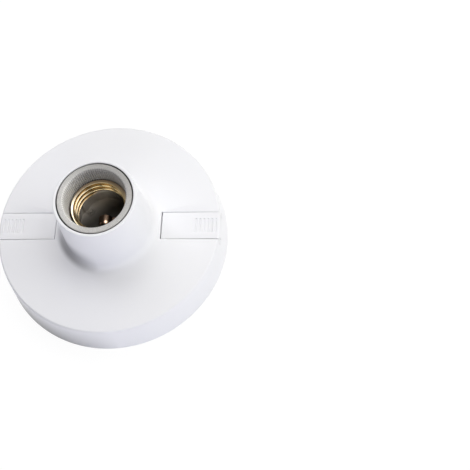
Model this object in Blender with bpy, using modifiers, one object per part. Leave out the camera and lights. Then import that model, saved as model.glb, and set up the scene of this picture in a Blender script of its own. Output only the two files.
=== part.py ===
"""Batten lamp holder: a round moulded base with a porcelain-lined screw lamp socket.

The holder lies on its rear rim in the XY plane with the socket pointing up (+Z).
Two screw covers slide outwards along X and bare the slotted fixing bosses.
All lengths are metres.
"""
import math

import bmesh
import bpy
from mathutils import Matrix, Vector

COLLECTION_NAME = "batten_lamp_holder"
CUTTER_COLLECTION_NAME = "cutters"

# Clearances between pieces
seat_gap = 0.0003
slide_gap = 0.0003

# Moulded base
rim_radius = 0.0600
rim_land = 0.0017
base_height = 0.0200
face_radius = 0.0583
face_rise = 0.0006
face_wall = 0.0018
edge_round = 0.0012
inner_fillet = 0.0030
turned_steps = 72

# Collar round the socket
mouth_height = 0.0532
mouth_outer_radius = 0.0210
collar_foot_radius = 0.0230
flare_radius = 0.0044
lip_round = 0.0005
tube_wall = 0.0011
tube_end = 0.0140
rear_flare = 0.0040
shoulder_height = 0.0263
shoulder_step = 0.0005

# Screw covers and the channels they run in
cover_half_width = 0.0074
cover_thickness = 0.0016
cover_inner_end = 0.0280
cover_end_gap = 0.0005
leg_thickness = 0.0010
lip_thickness = 0.0010
lip_reach = 0.0011
lip_drop = 0.0004
channel_wall = 0.0017
groove_count = 6
groove_first = 0.0457
groove_pitch = 0.00202
groove_width = 0.0010
groove_length = 0.0078
groove_depth = 0.0005

# Fixing bosses
fixing_offset = 0.0420
slot_length = 0.0210
slot_width = 0.0046
boss_length = 0.0252
boss_width = 0.0104
boss_end = 0.0004
boss_steps = 12

# Knock-out score lines in the rim
score_places = (-0.0123, -0.0058, 0.0058, 0.0123)
score_width = 0.0008
score_height = 0.0095
score_web = 0.0007

# Porcelain core
core_radius = 0.01875
core_gap = 0.0006
core_top = 0.0530
flange_radius = 0.0196
core_back = 0.0173
core_floor = 0.0240
mouth_radius = 0.0158
mouth_step = 0.0442
shell_seat = 0.0316
core_bore_radius = 0.0136
rim_round = 0.0006
barrier_half_width = 0.0020
barrier_end = 0.0134
core_steps = 48

# Screw shell with a rolled lamp thread
thread_major_radius = 0.0135
thread_minor_radius = 0.01225
thread_pitch = 0.00363
thread_shift = 0.0012
shell_wall = 0.00035
shell_top = 0.0440
shell_lip_radius = 0.0145
shell_pocket_gap = 0.00045
shell_plain = 0.0018
shell_bottom_radius = 0.0129
shell_foot_radius = 0.0143
shell_leg_width = 0.0040
shell_leg_lap = 0.0003
shell_leg_inner = 0.0126
shell_leg_outer = 0.01305
shell_leg_reach = 0.0019
shell_steps = 40
shell_rings = 22

# Centre contact
contact_width = 0.0050
contact_thickness = 0.0005
contact_lift = 0.00045
contact_root_half = 0.0021
contact_rise = 0.0032
contact_tip = -0.0032
contact_tip_drop = 0.0017
contact_bend_radius = 0.0030
contact_bend_start = 55.0
contact_bend_end = 130.0
contact_hole_radius = 0.0014

# Terminals
screw_offset = 0.0094
screw_head_radius = 0.0026
screw_head_height = 0.0017
screw_shank_radius = 0.00175
screw_length = 0.0080
screw_head_edge = 0.0005
screw_head_share = 0.82
screw_end_taper = 0.0006
screw_end_share = 0.7
screw_cross_width = 0.0008
screw_cross_depth = 0.0009
screw_cross_share = 0.62
screw_cross_turn = 25.0
plate_thickness = 0.0010
plate_inner = 0.0062
plate_outer = 0.0156
plate_half_depth = 0.0082
plate_chamfer = 0.0022
plate_tongue_half = 0.0022
plate_tongue_edge = 0.0008
washer_half_width = 0.0029
washer_thickness = 0.0009
washer_gap = 0.0005
small_steps = 20

# Rivets
contact_rivet_offset = 0.0049
shell_rivet_circle = 0.0108
shell_rivet_angle = 145.0
rivet_radius = 0.0010
rivet_clearance = 0.0003
rivet_head_height = 0.0007
rivet_crown_share = 0.8
rivet_tail_share = 0.85
contact_head_radius = 0.0017
contact_tail_radius = 0.0013
shell_head_radius = 0.0014

# Wiring cover
cover_face = 0.0116
cover_plate = 0.0013
cover_spigot_wall = 0.0014
cover_bevel = 0.0006
spine_half_width = 0.0052
spine_end = 0.0096
bridge_half_width = 0.0047
bridge_end = 0.0100
band_inset = 0.0010
well_radius = 0.0042
well_hole_radius = 0.0030
well_end = 0.0092
window_near = 0.0049
window_far = 0.0093
window_inner = 0.0058
window_rim = 0.0002
snap_half_width = 0.0018
snap_reach = 0.0008
snap_height = 0.0010
snap_place = 0.0150

# Sizes that follow from the ones above
bore_radius = core_radius + core_gap
rear_bore_radius = flange_radius + seat_gap
tube_outer_radius = rear_bore_radius + tube_wall
collar_foot_height = base_height + face_rise
channel_floor = base_height - cover_thickness - slide_gap
channel_underside = channel_floor - face_wall
lip_top = channel_underside - lip_drop
plate_top = core_back - seat_gap
washer_top = plate_top - plate_thickness - washer_gap
head_top = washer_top - washer_thickness - seat_gap
contact_base = core_floor + contact_lift
leg_foot_base = core_floor + seat_gap
shell_base = shell_seat + seat_gap
past = 0.0010

WHITE = (0.92, 0.925, 0.94)
PORCELAIN = (0.60, 0.59, 0.575)
BRASS = (0.76, 0.56, 0.25)
BRONZE = (0.72, 0.42, 0.22)
NICKEL = (0.55, 0.54, 0.50)


def clear_scene():
    """Remove the objects that the file opens with."""
    for obj in list(bpy.data.objects):
        bpy.data.objects.remove(obj, do_unlink=True)


def make_collection(name):
    """Return a new collection linked to the scene."""
    group = bpy.data.collections.new(name)
    bpy.context.scene.collection.children.link(group)
    return group


def make_material(name, colour, roughness, metallic):
    """Return a Principled material with one colour."""
    material = bpy.data.materials.new(name)
    material.use_nodes = True
    shader = material.node_tree.nodes["Principled BSDF"]
    shader.inputs["Base Color"].default_value = (*colour, 1.0)
    shader.inputs["Roughness"].default_value = roughness
    shader.inputs["Metallic"].default_value = metallic
    return material


def arc(centre, radius, start, end, steps):
    """Points (r, z) on an arc, both ends included, angles in degrees."""
    points = []
    for index in range(steps + 1):
        angle = math.radians(start + (end - start) * index / steps)
        points.append((centre[0] + radius * math.cos(angle), centre[1] + radius * math.sin(angle)))
    return points


def object_from_bmesh(name, mesh_data, group):
    """Link a new object that holds the given bmesh."""
    mesh = bpy.data.meshes.new(name)
    mesh_data.to_mesh(mesh)
    mesh_data.free()
    obj = bpy.data.objects.new(name, mesh)
    group.objects.link(obj)
    return obj


def box(name, low, high, group):
    """Axis-aligned box between two corners."""
    low, high = Vector(low), Vector(high)
    data = bmesh.new()
    bmesh.ops.create_cube(data, size=1.0)
    bmesh.ops.scale(data, vec=high - low, verts=data.verts)
    bmesh.ops.translate(data, vec=(low + high) / 2, verts=data.verts)
    return object_from_bmesh(name, data, group)


def cylinder(name, centre, radius, bottom, top, group, steps=small_steps):
    """Upright cylinder."""
    data = bmesh.new()
    bmesh.ops.create_cone(data, cap_ends=True, segments=steps, radius1=radius, radius2=radius,
                          depth=top - bottom)
    bmesh.ops.translate(data, vec=(centre[0], centre[1], (top + bottom) / 2), verts=data.verts)
    return object_from_bmesh(name, data, group)


def turned(name, profile, closed, steps, group):
    """Solid of revolution about Z from a profile of (r, z) points."""
    data = bmesh.new()
    points = [data.verts.new((r, 0.0, z)) for r, z in profile]
    for first, second in zip(points, points[1:]):
        data.edges.new((first, second))
    if closed:
        data.edges.new((points[-1], points[0]))
    obj = object_from_bmesh(name, data, group)
    screw = obj.modifiers.new("turn", "SCREW")
    screw.angle = math.tau
    screw.axis = "Z"
    screw.steps = steps
    screw.render_steps = steps
    screw.use_merge_vertices = True
    screw.merge_threshold = 0.00001
    return obj


def prism(name, outline, bottom, top, group):
    """Upright prism over a flat outline of (x, y) points."""
    curve = bpy.data.curves.new(name, "CURVE")
    curve.dimensions = "2D"
    curve.fill_mode = "BOTH"
    curve.extrude = (top - bottom) / 2
    spline = curve.splines.new("POLY")
    spline.points.add(len(outline) - 1)
    for point, (x, y) in zip(spline.points, outline):
        point.co = (x, y, 0.0, 1.0)
    spline.use_cyclic_u = True
    drawn = bpy.data.objects.new(name + "_outline", curve)
    bpy.context.scene.collection.objects.link(drawn)
    drawn.location.z = (top + bottom) / 2
    bpy.context.view_layer.update()
    evaluated = drawn.evaluated_get(bpy.context.evaluated_depsgraph_get())
    mesh = bpy.data.meshes.new_from_object(evaluated)
    mesh.transform(drawn.matrix_world)
    data = bmesh.new()
    data.from_mesh(mesh)
    bmesh.ops.remove_doubles(data, verts=data.verts, dist=0.00001)
    bmesh.ops.recalc_face_normals(data, faces=data.faces)
    bpy.data.objects.remove(drawn, do_unlink=True)
    bpy.data.curves.remove(curve)
    bpy.data.meshes.remove(mesh)
    return object_from_bmesh(name, data, group)


def obround(centre_x, length, width):
    """Outline of a slot that runs along X."""
    reach = (length - width) / 2
    right = arc((centre_x + reach, 0.0), width / 2, -90, 90, boss_steps)
    left = arc((centre_x - reach, 0.0), width / 2, 90, 270, boss_steps)
    return right + left


def combine(target, tool, operation):
    """Add a Boolean of the target with a hidden tool object."""
    tool.hide_render = True
    tool.display_type = "WIRE"
    modifier = target.modifiers.new(operation.lower() + "_" + tool.name, "BOOLEAN")
    modifier.solver = "EXACT"
    modifier.operation = operation
    modifier.object = tool


def finish(obj, material, origin=(0.0, 0.0, 0.0), smooth=True):
    """Give a piece its material, shading and origin."""
    obj.data.materials.append(material)
    if smooth:
        obj.data.shade_smooth()
        obj.data.set_sharp_from_angle(angle=math.radians(35))
    if any(origin):
        obj.data.transform(Matrix.Translation(-Vector(origin)))
        obj.location = origin
    return obj


def skirt_edge():
    """Points of the rounded face edge and the sloping skirt, top to bottom."""
    draft = math.degrees(math.atan2(rim_radius - face_radius, base_height))
    centre = (face_radius - edge_round, base_height - edge_round)
    return arc(centre, edge_round, 90, draft, 4) + [(rim_radius, 0.0)]


def base_profile():
    """Closed section of the base: collar, face, skirt and rear tube."""
    lip_in = (bore_radius + lip_round, mouth_height - lip_round)
    lip_out = (mouth_outer_radius - lip_round, mouth_height - lip_round)
    foot = (collar_foot_radius + flare_radius, collar_foot_height + flare_radius)
    corner = (face_radius - rim_land - inner_fillet, base_height - face_wall - inner_fillet)
    rear = (tube_outer_radius + rear_flare, collar_foot_height - face_wall - rear_flare)
    points = arc(lip_in, lip_round, 180, 90, 2)
    points += arc(lip_out, lip_round, 90, 0, 2)
    points += arc(foot, flare_radius, 180, 270, 6)
    points += skirt_edge()
    points += [(rim_radius - rim_land, 0.0)]
    points += arc(corner, inner_fillet, 0, 90, 3)
    points += arc(rear, rear_flare, 90, 180, 4)
    points += [(tube_outer_radius, tube_end), (rear_bore_radius, tube_end)]
    points += [(rear_bore_radius, shoulder_height), (bore_radius, shoulder_height)]
    return points


def side_box(name, side, near, far, half_width, bottom, top, group):
    """Box centred on Y that spans near to far along X on one side."""
    low = min(side * near, side * far)
    high = max(side * near, side * far)
    return box(name, (low, -half_width, bottom), (high, half_width, top), group)


def rail_box(name, side, hand, near, far, inner, outer, bottom, top, group):
    """Box beside the centreline on one side (X) and one hand (Y)."""
    xs = sorted((side * near, side * far))
    ys = sorted((hand * inner, hand * outer))
    return box(name, (xs[0], ys[0], bottom), (xs[1], ys[1], top), group)


def add_channel(base, side, group):
    """Channel, leg slits and slotted fixing boss of one screw cover."""
    tag = "right" if side > 0 else "left"
    well = cover_half_width + slide_gap
    leg_inner = cover_half_width - leg_thickness - slide_gap
    lip_outer = cover_half_width + lip_reach + slide_gap
    beyond = rim_radius + past
    start = cover_inner_end - cover_end_gap
    skirt_inside = face_radius - rim_land
    notch_bottom = lip_top - lip_thickness - slide_gap
    block_top = collar_foot_height - face_wall / 2
    block = side_box("channel_block_" + tag, side, start - channel_wall, skirt_inside + rim_land / 2,
                     well + channel_wall, channel_underside, block_top, group)
    combine(base, block, "UNION")
    boss = prism("boss_" + tag, obround(side * fixing_offset, boss_length, boss_width),
                 boss_end, channel_floor - face_wall / 2, group)
    combine(base, boss, "UNION")
    recess = side_box("recess_" + tag, side, start, beyond, well, channel_floor, base_height + past, group)
    combine(base, recess, "DIFFERENCE")
    for hand in (-1, 1):
        name = tag + ("_rear" if hand > 0 else "_front")
        slit = rail_box("slit_" + name, side, hand, start, beyond, leg_inner, well,
                        notch_bottom, channel_floor + past, group)
        combine(base, slit, "DIFFERENCE")
        notch = rail_box("notch_" + name, side, hand, fixing_offset + boss_length / 2, beyond,
                         leg_inner, lip_outer, notch_bottom, channel_underside, group)
        combine(base, notch, "DIFFERENCE")
    slot = prism("slot_" + tag, obround(side * fixing_offset, slot_length, slot_width),
                 boss_end - past, channel_floor + past, group)
    combine(base, slot, "DIFFERENCE")


def add_score_lines(base, group):
    """Vertical score lines that mark the knock-outs in the rim."""
    draft = math.atan2(rim_radius - face_radius, base_height)
    lean = Matrix.Translation((0.0, rim_radius, 0.0)) @ Matrix.Rotation(draft, 4, "X")
    for index, place in enumerate(score_places):
        line = box("score_%d" % index, (-score_width / 2, -rim_land - past, -past),
                   (score_width / 2, -score_web, score_height), group)
        line.data.transform(Matrix.Rotation(-math.asin(place / rim_radius), 4, "Z") @ lean)
        combine(base, line, "DIFFERENCE")


def make_base(group, cutters, material):
    """The moulded base with its collar, channels and bosses."""
    base = turned("base_shell", base_profile(), True, turned_steps, group)
    for side in (-1, 1):
        add_channel(base, side, cutters)
    add_score_lines(base, cutters)
    for hand, tag in ((-1, "front"), (1, "rear")):
        ys = sorted((hand * (rear_bore_radius - past), hand * (tube_outer_radius + past)))
        reach = snap_half_width + slide_gap
        window = box("snap_window_" + tag, (-reach, ys[0], snap_place - slide_gap),
                     (reach, ys[1], snap_place + snap_height + slide_gap), cutters)
        combine(base, window, "DIFFERENCE")
    return finish(base, material)


def make_screw_cover(side, group, cutters, material):
    """Sliding screw cover with two hooked legs and thumb grooves."""
    tag = "right" if side > 0 else "left"
    beyond = rim_radius + past
    plate_bottom = base_height - cover_thickness
    cover = side_box("slide_cover_" + tag, side, cover_inner_end, beyond, cover_half_width,
                     plate_bottom, base_height, group)
    for hand in (-1, 1):
        name = tag + ("_rear" if hand > 0 else "_front")
        leg = rail_box("leg_" + name, side, hand, cover_inner_end, beyond,
                       cover_half_width - leg_thickness, cover_half_width,
                       lip_top - lip_thickness, plate_bottom + cover_thickness / 2, cutters)
        combine(cover, leg, "UNION")
        lip = rail_box("lip_" + name, side, hand, cover_inner_end, beyond,
                       cover_half_width - leg_thickness / 2, cover_half_width + lip_reach,
                       lip_top - lip_thickness, lip_top, cutters)
        combine(cover, lip, "UNION")
    envelope = turned("cover_envelope_" + tag, [(0.0, base_height)] + skirt_edge() + [(0.0, 0.0)],
                      False, turned_steps, cutters)
    combine(cover, envelope, "INTERSECT")
    for index in range(groove_count):
        centre = groove_first + index * groove_pitch
        groove = side_box("groove_%s_%d" % (tag, index), side, centre - groove_width / 2,
                          centre + groove_width / 2, groove_length / 2,
                          base_height - groove_depth, base_height + past, cutters)
        combine(cover, groove, "DIFFERENCE")
    return finish(cover, material, origin=(side * cover_inner_end, 0.0, base_height))


def make_core(group, cutters, material):
    """Porcelain core: lamp mouth, shell pocket, floor and rear barrier."""
    pocket_radius = shell_lip_radius + shell_wall + shell_pocket_gap
    inner_rim = (mouth_radius + rim_round, core_top - rim_round)
    outer_rim = (core_radius - rim_round, core_top - rim_round)
    profile = [(0.0, core_floor), (core_bore_radius, core_floor), (core_bore_radius, shell_seat)]
    profile += [(pocket_radius, shell_seat), (pocket_radius, mouth_step)]
    profile += arc(inner_rim, rim_round, 180, 90, 2)
    profile += arc(outer_rim, rim_round, 90, 0, 2)
    profile += [(core_radius, shoulder_height - seat_gap + shoulder_step)]
    profile += [(core_radius, shoulder_height - seat_gap), (flange_radius, shoulder_height - seat_gap)]
    profile += [(flange_radius, core_back), (0.0, core_back)]
    core = turned("porcelain_core", profile, False, core_steps, group)
    spigot_inside = flange_radius - cover_spigot_wall
    barrier = box("barrier", (-barrier_half_width, -spigot_inside + seat_gap * 2, barrier_end),
                  (barrier_half_width, spigot_inside - seat_gap * 2, core_back + past), cutters)
    combine(core, barrier, "UNION")
    for side in (-1, 1):
        socket = cylinder("screw_socket_%d" % side, (side * screw_offset, 0.0), screw_shank_radius + seat_gap,
                          core_back - past, head_top + screw_length + past, cutters)
        combine(core, socket, "DIFFERENCE")
    for name, place in rivet_places().items():
        hole = cylinder("core_hole_" + name, place, rivet_radius + rivet_clearance,
                        core_back - past, core_floor + past, cutters)
        combine(core, hole, "DIFFERENCE")
    return finish(core, material)


def rivet_places():
    """Where each rivet passes through the porcelain floor."""
    angle = math.radians(shell_rivet_angle)
    across = shell_rivet_circle * math.cos(angle)
    along = shell_rivet_circle * math.sin(angle)
    return {
        "contact_rivet": (contact_rivet_offset, 0.0),
        "shell_rivet_front": (across, -along),
        "shell_rivet_rear": (across, along),
    }


def shell_point(height_share, turn):
    """Radius and height of the shell's inner face at a share of its run and a turn angle."""
    foot_share = 1.0 / shell_rings
    if height_share < foot_share:
        return shell_foot_radius, shell_base
    rise = (height_share - foot_share) / (1.0 - foot_share)
    z = shell_base + rise * (shell_top - shell_base)
    middle = (thread_major_radius + thread_minor_radius) / 2
    depth = (thread_major_radius - thread_minor_radius) / 2
    wave = middle + depth * math.cos(math.tau * (z - thread_shift) / thread_pitch - turn)
    low_fade = min(1.0, (z - shell_base) / shell_plain)
    high_fade = min(1.0, (shell_top - z) / shell_plain)
    radius = shell_bottom_radius + (wave - shell_bottom_radius) * low_fade
    return shell_lip_radius + (radius - shell_lip_radius) * high_fade, z


def make_screw_shell(group, cutters, material):
    """Brass shell: thin wall with a helical lamp thread, a foot and two riveted legs."""
    data = bmesh.new()
    bmesh.ops.create_cone(data, cap_ends=False, segments=shell_steps, radius1=1.0, radius2=1.0, depth=1.0)
    uprights = [edge for edge in data.edges if abs(edge.verts[0].co.z - edge.verts[1].co.z) > 0.5]
    bmesh.ops.subdivide_edges(data, edges=uprights, cuts=shell_rings - 1, use_grid_fill=True)
    for vertex in data.verts:
        turn = math.atan2(vertex.co.y, vertex.co.x)
        radius, z = shell_point(vertex.co.z + 0.5, turn)
        vertex.co = (radius * math.cos(turn), radius * math.sin(turn), z)
    data.normal_update()
    outward = sum(face.normal.xy.dot(face.calc_center_median().xy) for face in data.faces)
    if outward < 0.0:
        bmesh.ops.reverse_faces(data, faces=data.faces)
    shell = object_from_bmesh("screw_shell", data, group)
    wall = shell.modifiers.new("wall", "SOLIDIFY")
    wall.thickness = shell_wall
    wall.offset = 1.0
    wall.use_even_offset = True
    for hand, name in ((-1, "shell_rivet_front"), (1, "shell_rivet_rear")):
        combine(shell, shell_leg(name, hand * shell_rivet_angle, cutters), "UNION")
        hole = cylinder("leg_hole_" + name, rivet_places()[name], rivet_radius + rivet_clearance,
                        leg_foot_base - past, leg_foot_base + past, cutters)
        combine(shell, hole, "DIFFERENCE")
    return finish(shell, material)


def shell_leg(name, angle, group):
    """Bent leg from the shell's lower edge down and in to its rivet."""
    inner, outer = shell_leg_inner, shell_leg_outer
    foot_end = shell_rivet_circle - shell_leg_reach
    low, high = leg_foot_base, shell_base + shell_leg_lap
    outline = [(foot_end, low), (outer, low), (outer, high), (inner, high)]
    outline += [(inner, low + shell_wall), (foot_end, low + shell_wall)]
    leg = prism("leg_" + name, outline, -shell_leg_width / 2, shell_leg_width / 2, group)
    leg.data.transform(Matrix.Rotation(math.radians(90.0), 4, "X"))
    leg.data.transform(Matrix.Rotation(math.radians(angle), 4, "Z"))
    return leg


def make_contact(group, cutters, material):
    """Springy centre contact, bent up from the root under its rivet."""
    root_far = contact_rivet_offset + contact_root_half
    root_near = contact_rivet_offset - contact_root_half
    top = contact_base + contact_rise
    bend = contact_bend_radius
    dome = arc((0.0, top - bend), bend, contact_bend_start, contact_bend_end, 4)
    path = [(root_far, contact_base), (root_near, contact_base)] + dome
    path += [(contact_tip, top - contact_tip_drop)]
    data = bmesh.new()
    points = [data.verts.new((x, -contact_width / 2, z)) for x, z in path]
    edges = [data.edges.new(pair) for pair in zip(points, points[1:])]
    swept = bmesh.ops.extrude_edge_only(data, edges=edges)
    moved = [item for item in swept["geom"] if isinstance(item, bmesh.types.BMVert)]
    bmesh.ops.translate(data, vec=(0.0, contact_width, 0.0), verts=moved)
    bmesh.ops.recalc_face_normals(data, faces=data.faces)
    contact = object_from_bmesh("centre_contact", data, group)
    upward = sum(face.normal.z * face.area for face in contact.data.polygons) > 0
    leaf = contact.modifiers.new("leaf", "SOLIDIFY")
    leaf.thickness = contact_thickness
    leaf.offset = 1.0 if upward else -1.0
    hole = cylinder("contact_hole", (contact_rivet_offset, 0.0), contact_hole_radius,
                    contact_base - past, contact_base + contact_thickness + past, cutters)
    combine(contact, hole, "DIFFERENCE")
    pivot = (contact_rivet_offset, 0.0, contact_base + contact_thickness / 2)
    return finish(contact, material, origin=pivot)


def make_rivet(name, place, head_bottom, head_radius, tail_radius, group, material):
    """Rivet from a head inside the shell to a tail behind its terminal plate."""
    tail_top = plate_top - plate_thickness - seat_gap
    crown = head_radius * rivet_crown_share
    profile = [(0.0, head_bottom + rivet_head_height), (crown, head_bottom + rivet_head_height)]
    profile += [(head_radius, head_bottom + rivet_head_height / 2), (head_radius, head_bottom)]
    profile += [(rivet_radius, head_bottom), (rivet_radius, tail_top)]
    profile += [(tail_radius, tail_top), (tail_radius * rivet_tail_share, tail_top - rivet_head_height)]
    profile += [(0.0, tail_top - rivet_head_height)]
    rivet = turned(name, profile, False, small_steps, group)
    rivet.location = (place[0], place[1], 0.0)
    return finish(rivet, material)


def make_rivets(group, brass):
    """The contact's rivet and the two that hold the shell."""
    for name, place in rivet_places().items():
        if name == "contact_rivet":
            bottom = contact_base + contact_thickness + contact_lift
            make_rivet(name, place, bottom, contact_head_radius, contact_tail_radius, group, brass)
        else:
            bottom = leg_foot_base + shell_wall + seat_gap
            make_rivet(name, place, bottom, shell_head_radius, shell_head_radius, group, brass)


def plate_outline(side, tongue):
    """Outline of a terminal plate, with a tongue towards the centre where it has one."""
    deep = plate_half_depth
    cut = plate_chamfer
    half = [(plate_inner, -deep), (plate_outer - cut, -deep), (plate_outer, -deep + cut)]
    half += [(plate_outer, deep - cut), (plate_outer - cut, deep), (plate_inner, deep)]
    if tongue:
        reach = contact_rivet_offset - rivet_radius - rivet_clearance - plate_tongue_edge
        half += [(plate_inner, plate_tongue_half), (reach, plate_tongue_half)]
        half += [(reach, -plate_tongue_half), (plate_inner, -plate_tongue_half)]
    points = [(side * x, y) for x, y in half]
    return points if side > 0 else points[::-1]


def make_terminal(side, group, cutters, nickel, brass):
    """Terminal plate, clamp washer and terminal screw of one pole."""
    tag = "right" if side > 0 else "left"
    place = (side * screw_offset, 0.0)
    hole_radius = screw_shank_radius + seat_gap
    plate = prism("terminal_plate_" + tag, plate_outline(side, side > 0),
                  plate_top - plate_thickness, plate_top, group)
    washer = box("clamp_washer_" + tag,
                 (place[0] - washer_half_width, -washer_half_width, washer_top - washer_thickness),
                 (place[0] + washer_half_width, washer_half_width, washer_top), group)
    bore = cylinder("terminal_bore_" + tag, place, hole_radius, head_top, core_back + past, cutters)
    combine(plate, bore, "DIFFERENCE")
    combine(washer, bore, "DIFFERENCE")
    for name, spot in rivet_places().items():
        if spot[0] * side > 0:
            hole = cylinder("plate_hole_" + name, spot, rivet_radius + rivet_clearance,
                            plate_top - plate_thickness - past, core_back + past, cutters)
            combine(plate, hole, "DIFFERENCE")
    finish(plate, nickel)
    finish(washer, nickel)
    head_end = head_top - screw_head_height
    tip = head_top + screw_length
    profile = [(0.0, tip), (screw_shank_radius * screw_end_share, tip)]
    profile += [(screw_shank_radius, tip - screw_end_taper), (screw_shank_radius, head_top)]
    profile += [(screw_head_radius, head_top), (screw_head_radius, head_end + screw_head_edge)]
    profile += [(screw_head_radius * screw_head_share, head_end), (0.0, head_end)]
    screw = turned("terminal_screw_" + tag, profile, False, small_steps, group)
    for turn, arm in ((0.0, "a"), (90.0, "b")):
        reach = screw_head_radius * screw_cross_share
        cross = box("cross_%s_%s" % (tag, arm), (-reach, -screw_cross_width / 2, head_end - past),
                    (reach, screw_cross_width / 2, head_end + screw_cross_depth), cutters)
        cross.data.transform(Matrix.Rotation(math.radians(turn + screw_cross_turn), 4, "Z"))
        cross.location = (place[0], 0.0, 0.0)
        combine(screw, cross, "DIFFERENCE")
    screw.location = (place[0], 0.0, 0.0)
    finish(screw, brass)


def make_wiring_cover(group, cutters, material):
    """Rear cover over the terminals, with a spine, screw wells and wire windows."""
    inside = flange_radius - cover_spigot_wall
    spigot_top = core_back - seat_gap
    profile = [(0.0, cover_face + cover_plate), (inside, cover_face + cover_plate), (inside, spigot_top)]
    profile += [(flange_radius, spigot_top), (flange_radius, cover_face + cover_bevel)]
    profile += [(flange_radius - cover_bevel, cover_face), (0.0, cover_face)]
    cover = turned("wiring_cover", profile, False, core_steps, group)
    root = cover_face + cover_plate / 2
    reach = flange_radius - band_inset
    limit = cylinder("band_limit", (0.0, 0.0), reach, well_end - past, root, cutters, steps=core_steps)
    spine = box("spine", (-spine_half_width, -rim_radius, spine_end),
                (spine_half_width, rim_radius, root), cutters)
    bridge = box("bridge", (-rim_radius, -bridge_half_width, bridge_end),
                 (rim_radius, bridge_half_width, root), cutters)
    for band in (spine, bridge):
        combine(band, limit, "INTERSECT")
        combine(cover, band, "UNION")
    for side in (-1, 1):
        place = (side * screw_offset, 0.0)
        well = cylinder("well_%d" % side, place, well_radius, well_end, root, cutters)
        combine(cover, well, "UNION")
        hole = cylinder("well_hole_%d" % side, place, well_hole_radius, well_end - past,
                        cover_face + cover_plate + past, cutters)
        combine(cover, hole, "DIFFERENCE")
        for hand in (-1, 1):
            window = rail_box("window_%d_%d" % (side, hand), side, hand, window_inner, inside,
                              window_near, window_far, cover_face - past, cover_face + cover_plate + past / 2,
                              cutters)
            edge = cylinder("window_edge_%d_%d" % (side, hand), (0.0, 0.0), inside - window_rim, 0.0,
                            mouth_height, cutters, steps=core_steps)
            combine(window, edge, "INTERSECT")
            combine(cover, window, "DIFFERENCE")
    for hand, tag in ((-1, "front"), (1, "rear")):
        ys = sorted((hand * (inside + cover_spigot_wall / 2), hand * (flange_radius + snap_reach)))
        lug = box("snap_lug_" + tag, (-snap_half_width, ys[0], snap_place),
                  (snap_half_width, ys[1], snap_place + snap_height), cutters)
        combine(cover, lug, "UNION")
    return finish(cover, material)


def main():
    """Build every piece of the lamp holder."""
    clear_scene()
    group = make_collection(COLLECTION_NAME)
    cutters = make_collection(CUTTER_COLLECTION_NAME)
    white = make_material("white_plastic", WHITE, 0.35, 0.0)
    porcelain = make_material("porcelain", PORCELAIN, 0.55, 0.0)
    brass = make_material("brass", BRASS, 0.25, 1.0)
    bronze = make_material("bronze", BRONZE, 0.30, 1.0)
    nickel = make_material("nickel", NICKEL, 0.40, 1.0)
    make_base(group, cutters, white)
    for side in (-1, 1):
        make_screw_cover(side, group, cutters, white)
        make_terminal(side, group, cutters, nickel, brass)
    make_core(group, cutters, porcelain)
    make_screw_shell(group, cutters, brass)
    make_contact(group, cutters, bronze)
    make_rivets(group, brass)
    make_wiring_cover(group, cutters, white)


main()
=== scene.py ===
"""Dressed model of a batten lamp holder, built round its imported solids.

The holder lies on its rear rim in the XY plane and its lamp socket points up
along Z. Every length is in metres and every angle in degrees, unless a name
says otherwise.
"""
import logging
from collections.abc import Callable, Iterable, Sequence
from dataclasses import dataclass, field
from enum import Enum
from math import asin, atan2, cos, degrees, pi, radians, sin, tau

import bmesh
import bpy
from mathutils import Matrix, Vector


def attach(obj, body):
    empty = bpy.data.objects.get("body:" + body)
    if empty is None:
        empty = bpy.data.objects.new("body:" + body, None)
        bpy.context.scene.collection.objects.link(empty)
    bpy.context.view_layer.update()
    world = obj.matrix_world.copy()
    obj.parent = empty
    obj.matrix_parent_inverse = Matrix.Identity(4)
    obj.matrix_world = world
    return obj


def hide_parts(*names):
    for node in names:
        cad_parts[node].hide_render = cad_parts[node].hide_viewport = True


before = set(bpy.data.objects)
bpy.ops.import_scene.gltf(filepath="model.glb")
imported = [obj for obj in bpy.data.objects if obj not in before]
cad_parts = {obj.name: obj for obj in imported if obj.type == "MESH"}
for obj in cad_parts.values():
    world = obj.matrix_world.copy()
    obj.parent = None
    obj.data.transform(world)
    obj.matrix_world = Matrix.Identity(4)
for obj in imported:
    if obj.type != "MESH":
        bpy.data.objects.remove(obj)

LOG = logging.getLogger("lamp_holder")
# Distance at which points join, how far a tool reaches past what it cuts, and
# the share of a softened edge at which its slope breaks
MERGE = 1e-6
PAST = 0.0010
SOFT = 0.3
SMOOTH_ANGLE = 32.0
# Metal below this height is seen from the rear only and carries no painted deep shade
REAR_HEIGHT = 0.0235
# Painted shade deep in the socket, painted light on its left and rear side, the slopes of that lit share
# along X and Y, and its start
DEEP_PAINTED_SHADE = (0.055, 0.050, 0.042)
DEEP_PAINTED_LIGHT = (0.76, 0.71, 0.63)
PAINTED_LIGHT_SLOPE = (-69.444444, 95.238095)
PAINTED_LIGHT_START = 0.355
WHITE = (1.0, 1.0, 1.0, 1.0)

Point = tuple[float, float]
Triple = tuple[float, float, float]
Outline = Callable[[float], list[Point]]
Piece = bpy.types.Object


# Choices


class Way(Enum):
    """One of the two directions along an axis."""

    @property
    def tag(self) -> str:
        """Return the word that names of pieces carry."""
        return self.name.lower()

    def span(self, near: float, far: float) -> Point:
        """Return two distances from the origin as coordinates, the lower one first."""
        low, high = sorted((self.value * near, self.value * far))
        return low, high


class Side(Way):
    """The two ends of the X axis, towards which the screw covers slide."""

    LEFT = -1
    RIGHT = 1


class Hand(Way):
    """The two sides of the X axis."""

    FRONT = -1
    REAR = 1


class Join(Enum):
    """How a tool solid changes the piece it meets."""

    UNION = "UNION"
    CUT = "DIFFERENCE"
    KEEP = "INTERSECT"


# Node trees


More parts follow.
